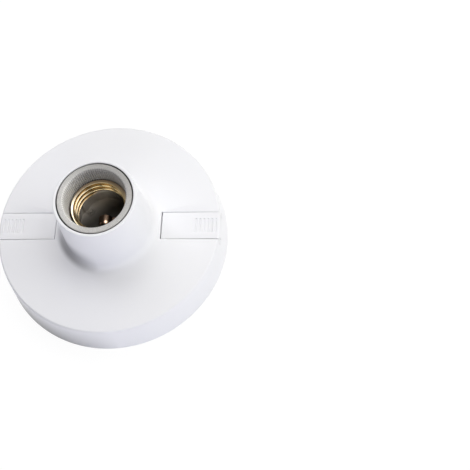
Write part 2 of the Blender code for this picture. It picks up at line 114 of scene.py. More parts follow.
def operator(operation: str, turned: bool = False) -> Callable[["Term", "Term | float"], "Term"]:
    """Return the method that puts a Math node over a term and another value.

    Args:
        operation: What the node does.
        turned: Whether the other value comes first.

    Returns:
        The method.
    """
    def method(self: "Term", value: "Term | float") -> "Term":
        """Return the result as a term."""
        return self.graph.math(operation, *((value, self) if turned else (self, value)))
    return method


class Term:
    """An output socket that takes part in Python arithmetic."""

    def __init__(self, graph: "Graph", socket: bpy.types.NodeSocket) -> None:
        """Wrap a socket of the graph's tree."""
        self.graph = graph
        self.socket = socket

    def other(self, key: str) -> "Term":
        """Return another output of the same node."""
        return Term(self.graph, pick(self.socket.node.outputs, key))

    __add__, __radd__ = operator("ADD"), operator("ADD", True)
    __sub__, __rsub__ = operator("SUBTRACT"), operator("SUBTRACT", True)
    __mul__, __rmul__ = operator("MULTIPLY"), operator("MULTIPLY", True)
    __truediv__ = operator("DIVIDE")


def pick(sockets: bpy.types.bpy_prop_collection, key: int | str) -> bpy.types.NodeSocket:
    """Find a socket by its place, its identifier or its name.

    Args:
        sockets: The inputs or outputs of a node.
        key: A number for the place, or the identifier or name.

    Returns:
        The socket.
    """
    if isinstance(key, int):
        return sockets[key]
    for socket in sockets:
        if socket.identifier == key:
            return socket
    return sockets[key]


class Graph:
    """A node tree that is filled through one node-making method."""

    def __init__(self, tree: bpy.types.NodeTree) -> None:
        """Wrap a tree."""
        self.tree = tree

    def node(self, kind: str, sockets: dict | None = None, settings: dict | None = None,
             output: int | str = 0) -> Term:
        """Add a node.

        Args:
            kind: The node's type name.
            sockets: Values or terms for the inputs, by place, identifier or name.
            settings: Properties set first; "stops" fills a colour ramp.
            output: The output to return.

        Returns:
            The chosen output as a term.
        """
        made = self.tree.nodes.new(kind)
        for name, value in (settings or {}).items():
            if name == "stops":
                ramp = made.color_ramp.elements
                for element, (place, shade) in zip(ramp, value):
                    element.position = place
                    element.color = (shade, shade, shade, 1.0)
            else:
                setattr(made, name, value)
        for key, value in (sockets or {}).items():
            socket = pick(made.inputs, key)
            if isinstance(value, Term):
                self.tree.links.new(value.socket, socket)
            else:
                socket.default_value = value
        return Term(self, pick(made.outputs, output) if len(made.outputs) else made.inputs[0])

    def math(self, operation: str, *values: "Term | float") -> Term:
        """Add a Math node over plain numbers and terms."""
        return self.node("ShaderNodeMath", dict(enumerate(values)), {"operation": operation})

    def cosine(self, angle: Term) -> Term:
        """Return the cosine of an angle in radians."""
        return self.math("COSINE", angle)

    def wave(self, angle: Term) -> Term:
        """Return the cosine of an angle, made to run from 0 to 1."""
        return self.cosine(angle) * 0.5 + 0.5

    def above(self, value: Term, limit: "Term | float") -> Term:
        """Return 1 where the value is over the limit, or else 0."""
        return self.math("GREATER_THAN", value, limit)

    def below(self, value: Term, limit: "Term | float") -> Term:
        """Return 1 where the value is under the limit, or else 0."""
        return self.math("LESS_THAN", value, limit)

    def clamp(self, value: Term) -> Term:
        """Return the value kept between 0 and 1."""
        return self.math("MINIMUM", self.math("MAXIMUM", value, 0.0), 1.0)

    def ramp(self, value: Term, start: float, end: float) -> Term:
        """Return how far the value is from start to end, kept between 0 and 1."""
        return self.clamp((value - start) * (1.0 / (end - start)))

    def reach(self, x: Term, y: Term) -> Term:
        """Return the length of a plane vector."""
        return self.math("SQRT", x * x + y * y)

    def split(self, place: Term) -> tuple[Term, Term, Term]:
        """Return the three coordinates of a place."""
        x = self.node("ShaderNodeSeparateXYZ", {0: place})
        return x, x.other("Y"), x.other("Z")

    def join(self, x: Term, y: Term, z: Term) -> Term:
        """Return the place with three coordinates."""
        return self.node("ShaderNodeCombineXYZ", {0: x, 1: y, 2: z})


class GeometryTree(Graph):
    """A Geometry Nodes tree with named inputs, which ends in Set Material."""

    def __init__(self, name: str, numbers: dict[str, float], counts: dict[str, int] | None = None) -> None:
        """Make the tree with its inputs.

        Args:
            name: Name of the tree.
            numbers: Length, angle and ratio inputs with their first values.
            counts: Whole-number inputs with their first values.
        """
        super().__init__(bpy.data.node_groups.new(name, "GeometryNodeTree"))
        face = self.tree.interface
        face.new_socket("Geometry", in_out="OUTPUT", socket_type="NodeSocketGeometry")
        self.identifiers = {}
        kinds = [("Geometry", "NodeSocketGeometry", None), ("Material", "NodeSocketMaterial", None)]
        kinds += [(key, "NodeSocketInt", value) for key, value in (counts or {}).items()]
        kinds += [(key, "NodeSocketFloat", value) for key, value in numbers.items()]
        for key, kind, value in kinds:
            socket = face.new_socket(key, in_out="INPUT", socket_type=kind)
            if value is not None:
                socket.default_value = value
            self.identifiers[key] = socket.identifier
        self.entry = self.node("NodeGroupInput")

    def value(self, key: str) -> Term:
        """Return a named input of the tree."""
        return self.entry.other(self.identifiers[key])

    def finish(self, geometry: Term) -> None:
        """Realize the geometry, give it the tree's material and close the tree."""
        real = self.node("GeometryNodeRealizeInstances", {"Geometry": geometry})
        dressed = self.node("GeometryNodeSetMaterial", {
            "Geometry": real, "Material": self.value("Material")})
        self.node("NodeGroupOutput", {0: dressed})

    def run(self, piece: Piece, material: bpy.types.Material | None = None,
            **values: float) -> None:
        """Add the tree to a piece as a modifier.

        Args:
            piece: The object that gets the modifier.
            material: Finish of the result.
            **values: Inputs by name, with spaces as underscores.
        """
        modifier = piece.modifiers.new(self.tree.name, "NODES")
        modifier.node_group = self.tree
        modifier[self.identifiers["Material"]] = material
        for key, value in values.items():
            modifier[self.identifiers[key.replace("_", " ")]] = value


def round_axis_tree() -> GeometryTree:
    """Tree that repeats a shape round Z at an even turn."""
    tree = GeometryTree("repeat_round_axis", {"First": 0.0, "Step": 0.1}, {"Count": 2})
    line = tree.node("GeometryNodeMeshLine", {
        "Count": tree.value("Count"), "Offset": (0.0, 0.0, 0.0)})
    turn = tree.value("First") + tree.value("Step") * tree.node("GeometryNodeInputIndex")
    spin = tree.node("ShaderNodeCombineXYZ", {"Z": turn})
    copies = tree.node("GeometryNodeInstanceOnPoints", {
        "Points": line, "Instance": tree.value("Geometry"), "Rotation": spin})
    tree.finish(copies)
    return tree


def along_line_tree() -> GeometryTree:
    """Tree that repeats a shape along X at an even pitch."""
    tree = GeometryTree("repeat_along_line", {"Pitch": 0.002}, {"Count": 6})
    pitch = tree.node("ShaderNodeCombineXYZ", {"X": tree.value("Pitch")})
    line = tree.node("GeometryNodeMeshLine", {"Count": tree.value("Count"), "Offset": pitch})
    copies = tree.node("GeometryNodeInstanceOnPoints", {
        "Points": line, "Instance": tree.value("Geometry")})
    tree.finish(copies)
    return tree


def rib_tree() -> GeometryTree:
    """Tree that raises upright ribs on the wall of a round mouth."""
    tree = GeometryTree("mouth_ribs", {
        "Radius": 0.0158, "Foot": 0.0153, "Depth": 0.0002, "Ribs": 90.0, "Bottom": 0.044, "Top": 0.052,
        "Fade": 0.0005, "Near": 0.00005})
    x, y, z = tree.split(tree.node("GeometryNodeInputPosition"))
    bottom, top, foot, fade = (tree.value(key) for key in ("Bottom", "Top", "Foot", "Fade"))
    reach = tree.reach(x, y)
    wall = foot + (tree.value("Radius") - foot) * ((z - bottom) / (top - bottom))
    on_wall = tree.below(tree.math("ABSOLUTE", reach - wall), tree.value("Near"))
    ends = tree.clamp((z - bottom) / fade + 1.0) * tree.clamp((top - z) / fade)
    wave = tree.wave(tree.math("ARCTAN2", y, x) * tree.value("Ribs"))
    share = 1.0 - tree.value("Depth") * wave * on_wall * ends / reach
    tree.finish(tree.node("GeometryNodeSetPosition", {
        "Geometry": tree.value("Geometry"), "Position": tree.join(x * share, y * share, z)}))
    return tree


def thread_tree() -> GeometryTree:
    """Tree that rolls a sheet with a foot, a screw thread and a flared lip."""
    tree = GeometryTree("rolled_thread", {
        "Bottom": 0.0319, "Top": 0.044, "Major": 0.0135, "Minor": 0.01225, "Pitch": 0.00363,
        "Shift": 0.0012, "Skew": 0.55, "Offset": 0.0006, "Lip": 0.0143, "Flare": 0.0009, "Root": 0.0129,
        "Foot": 0.0143, "Foot Share": 0.10, "Corner": 0.0006, "Plain": 0.0018},
        {"Around": 160, "Rows": 110})
    sheet = tree.node("GeometryNodeMeshGrid", {
        "Size X": 1.0, "Size Y": 1.0, "Vertices X": tree.value("Around"), "Vertices Y": tree.value("Rows")})
    across, along, _ = tree.split(tree.node("GeometryNodeInputPosition"))
    turn, share = (across + 0.5) * tau, along + 0.5
    bottom, top, root, foot_share, corner, major, minor = (tree.value(key) for key in (
        "Bottom", "Top", "Root", "Foot Share", "Corner", "Major", "Minor"))
    flat = share / foot_share * 2.0
    curl = tree.clamp(flat - 1.0) * (pi / 2)
    rise = tree.clamp((share - foot_share) / (1.0 - foot_share))
    z = bottom + corner * (1.0 - tree.cosine(curl)) + rise * (top - bottom - corner)
    phase = (z - tree.value("Shift")) * tau / tree.value("Pitch") - turn
    wave = tree.cosine(phase + tree.value("Skew") * tree.cosine(phase))
    thread = (major + minor) * 0.5 + (major - minor) * 0.5 * wave
    low = tree.clamp((z - bottom - corner) / tree.value("Plain"))
    opened = tree.clamp(1.0 - (top - z) / tree.value("Flare"))
    reach = root + (thread - root) * low
    reach = reach + (tree.value("Lip") - reach) * opened * opened
    reach = reach + (tree.value("Foot") - root - corner) * (1.0 - tree.clamp(flat))
    reach = reach + corner * (1.0 - tree.math("SINE", curl))
    rolled = tree.join(reach * tree.cosine(turn) + tree.value("Offset") * low,
                       reach * tree.math("SINE", turn), z)
    moved = tree.node("GeometryNodeSetPosition", {"Geometry": sheet, "Position": rolled})
    tree.finish(tree.node("GeometryNodeMergeByDistance", {"Geometry": moved, "Distance": MERGE * 5}))
    return tree


def shader_graph(owner: bpy.types.Material | bpy.types.World) -> Graph:
    """Return the emptied node tree of a material or a world."""
    owner.use_nodes = True
    owner.node_tree.nodes.clear()
    return Graph(owner.node_tree)


# Shapes


def arc(centre: Point, radius: float, start: float, end: float, steps: int = 8) -> list[Point]:
    """Return points on an arc, both ends included."""
    angles = [radians(start + (end - start) * index / steps) for index in range(steps + 1)]
    return [(centre[0] + radius * cos(angle), centre[1] + radius * sin(angle))
            for angle in angles]


def rounded_box(half_x: float, half_y: float, corner: float, centre: Point = (0.0, 0.0)) -> Outline:
    """Return the outline of a box with round corners, as a function of its inset."""
    def outline(inset: float) -> list[Point]:
        """Return the points at an inset."""
        radius = max(corner - inset, MERGE * 10)
        reach_x, reach_y = half_x - inset - radius, half_y - inset - radius
        points = []
        for quarter, (across, along) in enumerate(((1, 1), (-1, 1), (-1, -1), (1, -1))):
            middle = (centre[0] + across * reach_x, centre[1] + along * reach_y)
            points += arc(middle, radius, quarter * 90, quarter * 90 + 90, 4)
        return points
    return outline


def disc(radius: float, centre: Point = (0.0, 0.0), steps: int = 64) -> Outline:
    """Return the outline of a disc, as a function of its inset."""
    return lambda inset: arc(centre, radius - inset, 0, 360, steps)[:-1]


def convex(points: Sequence[Point]) -> Outline:
    """Return the outline of a convex anticlockwise polygon, as a function of its inset."""
    def outline(inset: float) -> list[Point]:
        """Return the points at an inset."""
        moved = []
        for index, point in enumerate(points):
            here = Vector(point)
            before = (here - Vector(points[index - 1])).normalized()
            after = (Vector(points[(index + 1) % len(points)]) - here).normalized()
            inward = Vector((-before.y - after.y, before.x + after.x))
            moved.append(tuple(here + inward * inset / (1.0 + before.dot(after))))
        return moved
    return outline


def midpoint(first: Point, second: Point) -> Point:
    """Return the point halfway between two."""
    return (first[0] + second[0]) / 2, (first[1] + second[1]) / 2


def linked(name: str, data: bpy.types.ID) -> Piece:
    """Link new data to the scene as an object."""
    made = bpy.data.objects.new(name, data)
    bpy.context.scene.collection.objects.link(made)
    return made


def object_from(name: str, data: bmesh.types.BMesh) -> Piece:
    """Link a bmesh to the scene as an object, closed and with outward faces."""
    bmesh.ops.remove_doubles(data, verts=data.verts, dist=MERGE)
    bmesh.ops.recalc_face_normals(data, faces=data.faces)
    mesh = bpy.data.meshes.new(name)
    data.to_mesh(mesh)
    data.free()
    return linked(name, mesh)


def loft(name: str, loops: Sequence[Sequence[Triple]], ring: bool = False) -> Piece:
    """Make a closed solid through loops of equal length.

    Args:
        name: Name of the object.
        loops: The loops of points, in order.
        ring: Whether the last loop joins the first, instead of flat ends.

    Returns:
        The new object.
    """
    data = bmesh.new()
    rows = [[data.verts.new(point) for point in loop] for loop in loops]
    size = len(rows[0])
    for first, second in zip(rows, rows[1:] + rows[:1] if ring else rows[1:]):
        for index in range(size):
            after = (index + 1) % size
            data.faces.new((first[index], first[after], second[after], second[index]))
    if not ring:
        data.faces.new(rows[0])
        data.faces.new(rows[-1])
    return object_from(name, data)


def revolve(name: str, profile: Sequence[Point], steps: int, centre: Point = (0.0, 0.0)) -> Piece:
    """Make a solid of revolution about an upright axis from a closed profile of (r, z)."""
    loops = []
    for index in range(steps):
        turn = tau * index / steps
        across, along = cos(turn), sin(turn)
        loops.append([(centre[0] + r * across, centre[1] + r * along, z) for r, z in profile])
    return loft(name, loops, ring=True)


def stack(name: str, outline: Outline, levels: Iterable[Point]) -> Piece:
    """Make an upright solid from its outline at levels of (z, inset)."""
    return loft(name, [[(x, y, z) for x, y in outline(inset)] for z, inset in levels])


def block(name: str, low: Triple, high: Triple) -> Piece:
    """Make a plain box between two corners, to cut or join with."""
    corners = [(low[0], low[1]), (high[0], low[1]), (high[0], high[1]), (low[0], high[1])]
    return loft(name, [[(x, y, z) for x, y in corners] for z in (low[2], high[2])])


def rail(name: str, side: Side, hand: Hand, out: Point, away: Point, heights: Point) -> Piece:
    """Make a box beside an axis.

    Args:
        name: Name of the object.
        side: The end of the X axis that it points to.
        hand: The side of the X axis that it lies on.
        out: Its two distances from the YZ plane.
        away: Its two distances from the XZ plane.
        heights: Its bottom and its top.

    Returns:
        The new object.
    """
    xs, ys = side.span(*out), hand.span(*away)
    return block(name, (xs[0], ys[0], heights[0]), (xs[1], ys[1], heights[1]))


def pin(name: str, radius: float, place: Point, bottom: float, top: float, steps: int) -> Piece:
    """Make a plain upright cylinder, to cut with."""
    return stack(name, disc(radius, place, steps), [(bottom, 0.0), (top, 0.0)])


def rounded_levels(bottom: float, top: float, low: float, high: float, steps: int = 4) -> list[Point]:
    """Return levels of (z, inset) with round lower and upper edges.

    Args:
        bottom: Height of the lower face.
        top: Height of the upper face.
        low: Radius of the lower edge, or 0 for a sharp one.
        high: Radius of the upper edge, or 0 for a sharp one.
        steps: Facets of each round.

    Returns:
        The levels, bottom to top.
    """
    levels = [(bottom, 0.0)] if low == 0.0 else [
        (bottom + low - r, low - i) for i, r in arc((0.0, 0.0), low, 0, 90, steps)][::-1]
    if high == 0.0:
        return levels + [(top, 0.0)]
    return levels + [(top - high + r, high - i) for i, r in arc((0.0, 0.0), high, 0, 90, steps)]


def combine(piece: Piece, tools: Iterable[Piece], join: Join) -> None:
    """Add a Boolean of the piece with each tool."""
    for tool in tools:
        modifier = piece.modifiers.new(tool.name, "BOOLEAN")
        modifier.solver = "EXACT"
        modifier.operation = join.value
        modifier.object = tool


def settle(piece: Piece) -> Piece:
    """Turn a piece's modifiers into plain mesh, and remove their tools."""
    tools = {modifier.object for modifier in piece.modifiers if modifier.type == "BOOLEAN"}
    shown = piece.evaluated_get(bpy.context.evaluated_depsgraph_get())
    piece.data = bpy.data.meshes.new_from_object(shown)
    piece.modifiers.clear()
    for tool in tools:
        bpy.data.objects.remove(tool)
    return piece


# Finishes


@dataclass(frozen=True)
class Finish:
    """A surface finish that fills one material slot of the record."""

    slot: str
    colour: Triple
    roughness: float
    metallic: float = 0.0
    mirror: float = 0.5
    rough_shares: tuple[float, ...] = ()

    def paint(self, graph: Graph, place: Term) -> dict[str, Term]:
        """Return what varies over the surface, by socket of the shader."""
        raise NotImplementedError

    def material(self) -> bpy.types.Material:
        """Build the finish as a material."""
        made = bpy.data.materials.new(self.slot + "_finish")
        graph = shader_graph(made)
        place = graph.node("ShaderNodeTexCoord", output="Object")
        sockets = {"Base Color": (*self.colour, 1.0), "Roughness": self.roughness,
                   "Metallic": self.metallic, "Specular IOR Level": self.mirror}
        shader = graph.node("ShaderNodeBsdfPrincipled", sockets | self.paint(graph, place))
        graph.node("ShaderNodeOutputMaterial", {"Surface": shader})
        return made

    def noise(self, graph: Graph, place: Term, scale: float | Triple, detail: float = 2.0) -> Term:
        """Return a noise value over the surface, from one scale or one for each axis."""
        if isinstance(scale, tuple):
            place = graph.node("ShaderNodeMapping", {"Vector": place, "Scale": scale})
            scale = 1.0
        return graph.node("ShaderNodeTexNoise", {"Vector": place, "Scale": scale, "Detail": detail})

    def rough(self, *noises: Term) -> Term:
        """Return the roughness, varied by noises and the shares in rough_shares."""
        value = self.roughness
        for noise, share in zip(noises, self.rough_shares):
            value = value + (noise - 0.5) * share
        return value

    def blend(self, graph: Graph, share: Term, first: Triple | Term, second: Triple | Term) -> Term:
        """Return a colour between two, by a share."""
        first, second = (colour if isinstance(colour, Term) else (*colour, 1.0) for colour in (first, second))
        return graph.node("ShaderNodeMix", {"Factor_Float": share, "A_Color": first, "B_Color": second},
                          {"data_type": "RGBA"}, "Result_Color")

    def bump(self, graph: Graph, height: Term) -> Term:
        """Return a normal from a height in metres."""
        return graph.node("ShaderNodeBump", {"Strength": 1.0, "Distance": 1.0, "Height": height})

    def shade(self, factor: float) -> Triple:
        """Return the colour made lighter or darker."""
        return tuple(min(1.0, part * factor) for part in self.colour)

    def painted_socket_shade(self, graph: Graph, x: Term, y: Term) -> Term:
        """Return the painted shade low in the socket, with painted light towards the left and the rear."""
        # pale is the share of painted light, highest at the left and rear; the rest is painted shade
        pale = graph.clamp(y * PAINTED_LIGHT_SLOPE[1] + x * PAINTED_LIGHT_SLOPE[0] - PAINTED_LIGHT_START)
        return self.blend(graph, pale * pale, DEEP_PAINTED_SHADE, DEEP_PAINTED_LIGHT)


@dataclass(frozen=True)
class MouldedPlastic(Finish):
    """Semi-gloss white moulding with faint sink marks and a fine skin, and painted shade low on the skirt's
    front left, a painted shadow at the collar's foot and painted shade in the gap inside the collar.
    """

    mirror: float = 0.25
    rough_shares: tuple[float, ...] = (0.10, 0.08)
    noise_scales: Point = (24.0, 1500.0)
    skin_shades: Point = (0.985, 1.008)
    sink: float = 0.000045
    skin: float = 0.0000016
    # Painted shade in the gap inside the collar, darkest towards one side
    gap_radius: float = 0.0196
    gap_bottom: float = 0.0270
    gap_top: float = 0.0526
    gap_painted_shades: Point = (0.75, 0.12)
    gap_turn: float = 215.0
    # Painted shade on the skirt, darker towards the bottom in the front-left sector
    skirt_radius: float = 0.0575
    skirt_height: float = 0.0245
    skirt_painted_shade: float = 0.22
    skirt_turn: float = 232.0
    # Painted shadow at the collar's foot on its lower-left side
    foot_radius: float = 0.0280
    foot_fade: float = 0.0020
    foot_bottom: float = 0.0197
    foot_peak: float = 0.0212
    foot_top: float = 0.0345
    foot_painted_shadow: float = 0.45
    foot_turn: float = 219.0

    def sector(self, graph: Graph, turn: Term, middle: float) -> Term:
        """Return 1 at a turn angle in degrees, falling to 0 at 45 degrees to its sides."""
        away = turn - (radians(middle) - tau)
        return graph.clamp(graph.cosine(away * 2.0)) * graph.above(graph.cosine(away), 0.0)

    def paint(self, graph: Graph, place: Term) -> dict[str, Term]:
        """Return colour, roughness and normal of the moulding."""
        broad, fine = (self.noise(graph, place, scale) for scale in self.noise_scales)
        x, y, z = graph.split(place)
        turn, radius = graph.math("ARCTAN2", y, x), graph.reach(x, y)
        skin = self.blend(graph, broad, *(self.shade(level) for level in self.skin_shades))
        # Painted shade low on the skirt's front left; skin carries it from here on
        low = graph.ramp(z, self.skirt_height, 0.0) * graph.above(radius, self.skirt_radius)
        low = low * self.sector(graph, turn, self.skirt_turn)
        skin = self.blend(graph, low, skin, self.shade(self.skirt_painted_shade))
        # Painted shadow at the collar's foot
        foot = graph.ramp(z, self.foot_top, self.foot_peak) * graph.ramp(z, self.foot_bottom, self.foot_peak)
        foot = foot * graph.ramp(radius, self.foot_radius, self.foot_radius - self.foot_fade)
        foot = foot * self.sector(graph, turn, self.foot_turn)
        skin = self.blend(graph, foot, skin, self.shade(self.foot_painted_shadow))
        # Painted shade on the collar's bore, which darkens the gap round the porcelain
        within = graph.below(radius, self.gap_radius) * graph.above(z, self.gap_bottom)
        within = within * graph.below(z, self.gap_top)
        shaded = graph.wave((turn - radians(self.gap_turn)) * 2.0)
        gap = self.blend(graph, shaded, *(self.shade(level) for level in self.gap_painted_shades))
        return {
            "Base Color": self.blend(graph, within, skin, gap),
            "Roughness": self.rough(broad, fine),
            "Normal": self.bump(graph, broad * self.sink + fine * self.skin),
        }


@dataclass(frozen=True)
class Porcelain(Finish):
    """Unglazed pale grey porcelain with a fine speckle, hatching on the rim and lines along the mouth's ribs
    that are darker between them as painted shade, painted light on the left, and painted shade on the far
    side, on the outer wall and deep inside.
    """

    rough_shares: tuple[float, ...] = (0.2,)
    speckle_scale: float = 1900.0
    cloud_scale: float = 160.0
    grain_stops: Point = (0.34, 0.62)
    weights: Triple = (0.30, 0.15, 0.55)
    grain: float = 0.000012
    line: float = 0.000035
    rim_reach: float = 0.0163
    rim_lines: float = 180.0
    wall_lines: float = 90.0
    # Painted shade on the outer wall, which darkens the gap under the collar
    outer_reach: float = 0.01865
    outer_top: float = 0.0524
    painted_gap_shade: float = 0.30
    # Below this height the inside takes the painted socket shade
    deep_height: float = 0.0340
    levels: Point = (0.62, 1.20)
    # Painted shade towards the far side and painted light towards the left, both stronger on the wall than on
    # the rim
    far_slope: Point = (18.404908, 49.079755)
    painted_far_shade: float = 0.71
    left_span: Point = (-0.00101875, -0.01120625)
    painted_left_light: float = 1.50
    wall_share: float = 0.60

    def paint(self, graph: Graph, place: Term) -> dict[str, Term]:
        """Return colour, roughness and normal of the porcelain."""
        x, y, z = graph.split(place)
        radius = graph.reach(x, y)
        on_rim = graph.above(radius, self.rim_reach)
        # Lines that follow the ribs on the wall, lighter on the ribs and darker between them as painted
        # shade, and a fine hatching on the rim
        count = on_rim * (self.rim_lines - self.wall_lines) + self.wall_lines
        lines = graph.wave(graph.math("ARCTAN2", y, x) * count)
        speckle = self.noise(graph, place, self.speckle_scale, 3.0)
        cloud = self.noise(graph, place, self.cloud_scale)
        stops = tuple(zip(self.grain_stops, (0.0, 1.0)))
        share = graph.node("ShaderNodeValToRGB", {0: speckle}, {"stops": stops})
        grains = graph.node("ShaderNodeSeparateColor", {0: share})
        weights = self.weights
        mixed = graph.clamp(grains * weights[0] + cloud * weights[1] + lines * weights[2])
        # Painted light on the left and painted shade on the far side
        left = graph.ramp(x, *self.left_span) * (1.0 - on_rim * self.wall_share)
        far = y * self.far_slope[1] + x * self.far_slope[0]
        far = graph.clamp(far * (1.0 + self.wall_share - on_rim * self.wall_share))
        dark, light = (self.blend(graph, far, self.blend(
            graph, left, self.shade(level), self.shade(level * self.painted_left_light)),
            self.shade(level * self.painted_far_shade)) for level in self.levels)
        # Painted shade low inside the socket
        deep = graph.below(z, self.deep_height) * (1.0 - on_rim)
        tone = self.blend(graph, mixed, dark, light)
        tone = self.blend(graph, deep, tone, self.painted_socket_shade(graph, x, y))
        # Painted shade on the outer wall below the rim
        outer = graph.above(radius, self.outer_reach) * graph.below(z, self.outer_top)
        return {
            "Base Color": self.blend(graph, outer, tone, self.shade(self.painted_gap_shade)),
            "Roughness": self.rough(cloud),
            "Normal": self.bump(graph, speckle * self.grain + lines * self.line),
        }


@dataclass(frozen=True)
class RolledMetal(Finish):
    """Bright rolled or pressed strip with turning lines round Z and a light tarnish, with painted shade in
    the thread's grooves, on the far side of the lip and deep in the socket, and a painted sheen towards the
    left.
    """

    rough_shares: tuple[float, ...] = (0.16, 0.10)
    line_scales: Triple = (60.0, 60.0, 6000.0)
    cloud_scale: float = 210.0
    line: float = 0.0000015
    darkening: float = 0.72
    # Painted shade in the thread's grooves, between the crest and groove radii and below the flare
    groove_painted_shade: Triple = (0.30, 0.16, 0.04)
    crest_radius: float = 0.0125
    groove_radius: float = 0.0131
    shell_offset: float = 0.0006
    flare_height: float = 0.0431
    flare_fade: float = 0.0004
    # Painted shade on the far side of the flared lip: dark brown, matt and rough
    lip_height: float = 0.0433
    lip_fade: float = 0.0006
    lip_reach: float = 0.0081875
    lip_rough: float = 0.3
    far_lip_painted_shade: Triple = (0.30, 0.21, 0.13)
    # Painted shade deep in the socket: below this height the metal turns dark, matt and rough
    deep_shade_height: float = 0.0355
    deep_shade_slope: float = 0.20
    deep_shade_fade: float = 0.0010
    deep_shade_rough: float = 0.35
    # Painted sheen, paler and creamier towards the left of the socket, kept off the grooves
    left_painted_sheen: Triple = (0.95, 0.87, 0.72)
    sheen_span: Point = (-0.00208333, -0.0125)
    sheen_share: float = 0.6

    def paint(self, graph: Graph, place: Term) -> dict[str, Term]:
        """Return colour, roughness, metal share and normal of the metal."""
        lines = self.noise(graph, place, self.line_scales)
        cloud = self.noise(graph, place, self.cloud_scale, 3.0)
        x, y, z = graph.split(place)
        radius = graph.reach(x - self.shell_offset, y)
        # Painted shade in the grooves of the thread
        groove_shade = graph.ramp(radius, self.crest_radius, self.groove_radius)
        groove_shade = groove_shade * graph.ramp(z, self.flare_height, self.flare_height - self.flare_fade)
        # Painted sheen on the crests, growing towards the left
        left_sheen = graph.ramp(x, *self.sheen_span) * self.sheen_share * (1.0 - groove_shade)
        # Painted shade deep in the socket, reaching less high towards the left
        deep_shade = graph.ramp(z - x * self.deep_shade_slope, self.deep_shade_height, self.deep_shade_height - self.deep_shade_fade)
        deep_shade = deep_shade * graph.above(z, REAR_HEIGHT)
        # Painted shade on the top of the lip, towards the far side
        lip = graph.ramp(z, self.lip_height, self.lip_height + self.lip_fade)
        lip = lip * graph.ramp(y, 0.0, self.lip_reach)
        tone = self.blend(graph, cloud, self.shade(self.darkening), self.colour)
        tone = self.blend(graph, groove_shade, tone, self.groove_painted_shade)
        tone = self.blend(graph, left_sheen, tone, self.left_painted_sheen)
        tone = self.blend(graph, lip, tone, self.far_lip_painted_shade)
        return {
            "Base Color": self.blend(graph, deep_shade, tone, self.painted_socket_shade(graph, x, y)),
            "Roughness": self.rough(cloud, lines) + deep_shade * self.deep_shade_rough + lip * self.lip_rough,
            "Metallic": (1.0 - deep_shade) * (1.0 - lip),
            "Normal": self.bump(graph, lines * self.line),
        }


@dataclass(frozen=True)
class SpottedLeaf(Finish):
    """Darkened spring bronze, with bright spots set where the glints fall, partly rubbed wear and partly
    painted glints.
    """

    # Spots of bright metal as x, y and radius, partly rubbed wear and partly painted glints
    glint_spots: tuple[Triple, ...] = ((0.0005, -0.00146, 0.0007), (-0.0023, -0.0019, 0.0004))
    spot_reach: Point = (1.6, 0.6)
    cloud_scale: float = 420.0
    darkening: Point = (0.14, 0.26)
    dull: float = 0.15

    def paint(self, graph: Graph, place: Term) -> dict[str, Term]:
        """Return colour and roughness of the leaf."""
        cloud = self.noise(graph, place, self.cloud_scale, 3.0)
        x, y, _ = graph.split(place)
        outer, inner = self.spot_reach
        rubbed_glint = x * 0.0
        for across, along, reach in self.glint_spots:
            away = graph.reach(x - across, y - along)
            rubbed_glint = graph.math("MAXIMUM", rubbed_glint, graph.ramp(away, reach * outer, reach * inner))
        dark = self.blend(graph, cloud, *(self.shade(level) for level in self.darkening))
        return {
            "Base Color": self.blend(graph, rubbed_glint, dark, self.colour),
            "Roughness": self.roughness + (1.0 - rubbed_glint) * self.dull,
        }


@dataclass(frozen=True)
class PlatedStrip(Finish):
    """Satin plated strip, brushed along Y."""

    rough_shares: tuple[float, ...] = (0.16, 0.14)
    line_scales: Triple = (5200.0, 130.0, 5200.0)
    cloud_scale: float = 260.0
    levels: Point = (0.82, 1.05)
    line: float = 0.0000025

    def paint(self, graph: Graph, place: Term) -> dict[str, Term]:
        """Return colour, roughness and normal of the plating."""
        lines = self.noise(graph, place, self.line_scales)
        cloud = self.noise(graph, place, self.cloud_scale)
        return {
            "Base Color": self.blend(graph, cloud, *(self.shade(level) for level in self.levels)),
            "Roughness": self.rough(cloud, lines),
            "Normal": self.bump(graph, lines * self.line),
        }


@dataclass
class Palette:
    """The finishes of the holder, each built once."""

    plastic: Finish = MouldedPlastic("white_plastic", (0.86, 0.865, 0.885), 0.32)
    porcelain: Finish = Porcelain("porcelain", (0.56, 0.55, 0.53), 0.62)
    brass: Finish = RolledMetal("brass", (0.90, 0.72, 0.40), 0.22, 1.0)
    bronze: Finish = SpottedLeaf("bronze", (0.90, 0.62, 0.44), 0.26, 1.0)
    nickel: Finish = PlatedStrip("nickel", (0.56, 0.55, 0.51), 0.42, 1.0)
    built: dict[str, bpy.types.Material] = field(default_factory=dict)

    def of(self, finish: Finish) -> bpy.types.Material:
        """Return a finish's material."""
        if finish.slot not in self.built:
            self.built[finish.slot] = finish.material()
        return self.built[finish.slot]

    def dress(self, piece: Piece, finish: Finish, body: str, *nodes: str) -> Piece:
        """Settle and finish a piece and let it stand for its solids.

        Args:
            piece: The piece, in place.
            finish: Its finish.
            body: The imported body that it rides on.
            *nodes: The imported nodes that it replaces.

        Returns:
            The piece.
        """
        settle(piece)
        data = bmesh.new()
        data.from_mesh(piece.data)
        bmesh.ops.remove_doubles(data, verts=data.verts, dist=MERGE)
        bmesh.ops.dissolve_degenerate(data, edges=data.edges, dist=MERGE)
        data.to_mesh(piece.data)
        data.free()
        piece.data.materials.clear()
        piece.data.materials.append(self.of(finish))
        piece.data.shade_smooth()
        piece.data.set_sharp_from_angle(angle=radians(SMOOTH_ANGLE))
        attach(piece, body)
        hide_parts(*nodes)
        LOG.info("%s: %d faces on %s, for %s", piece.name, len(piece.data.polygons), body, ", ".join(nodes))
        return piece


# The holder's pieces


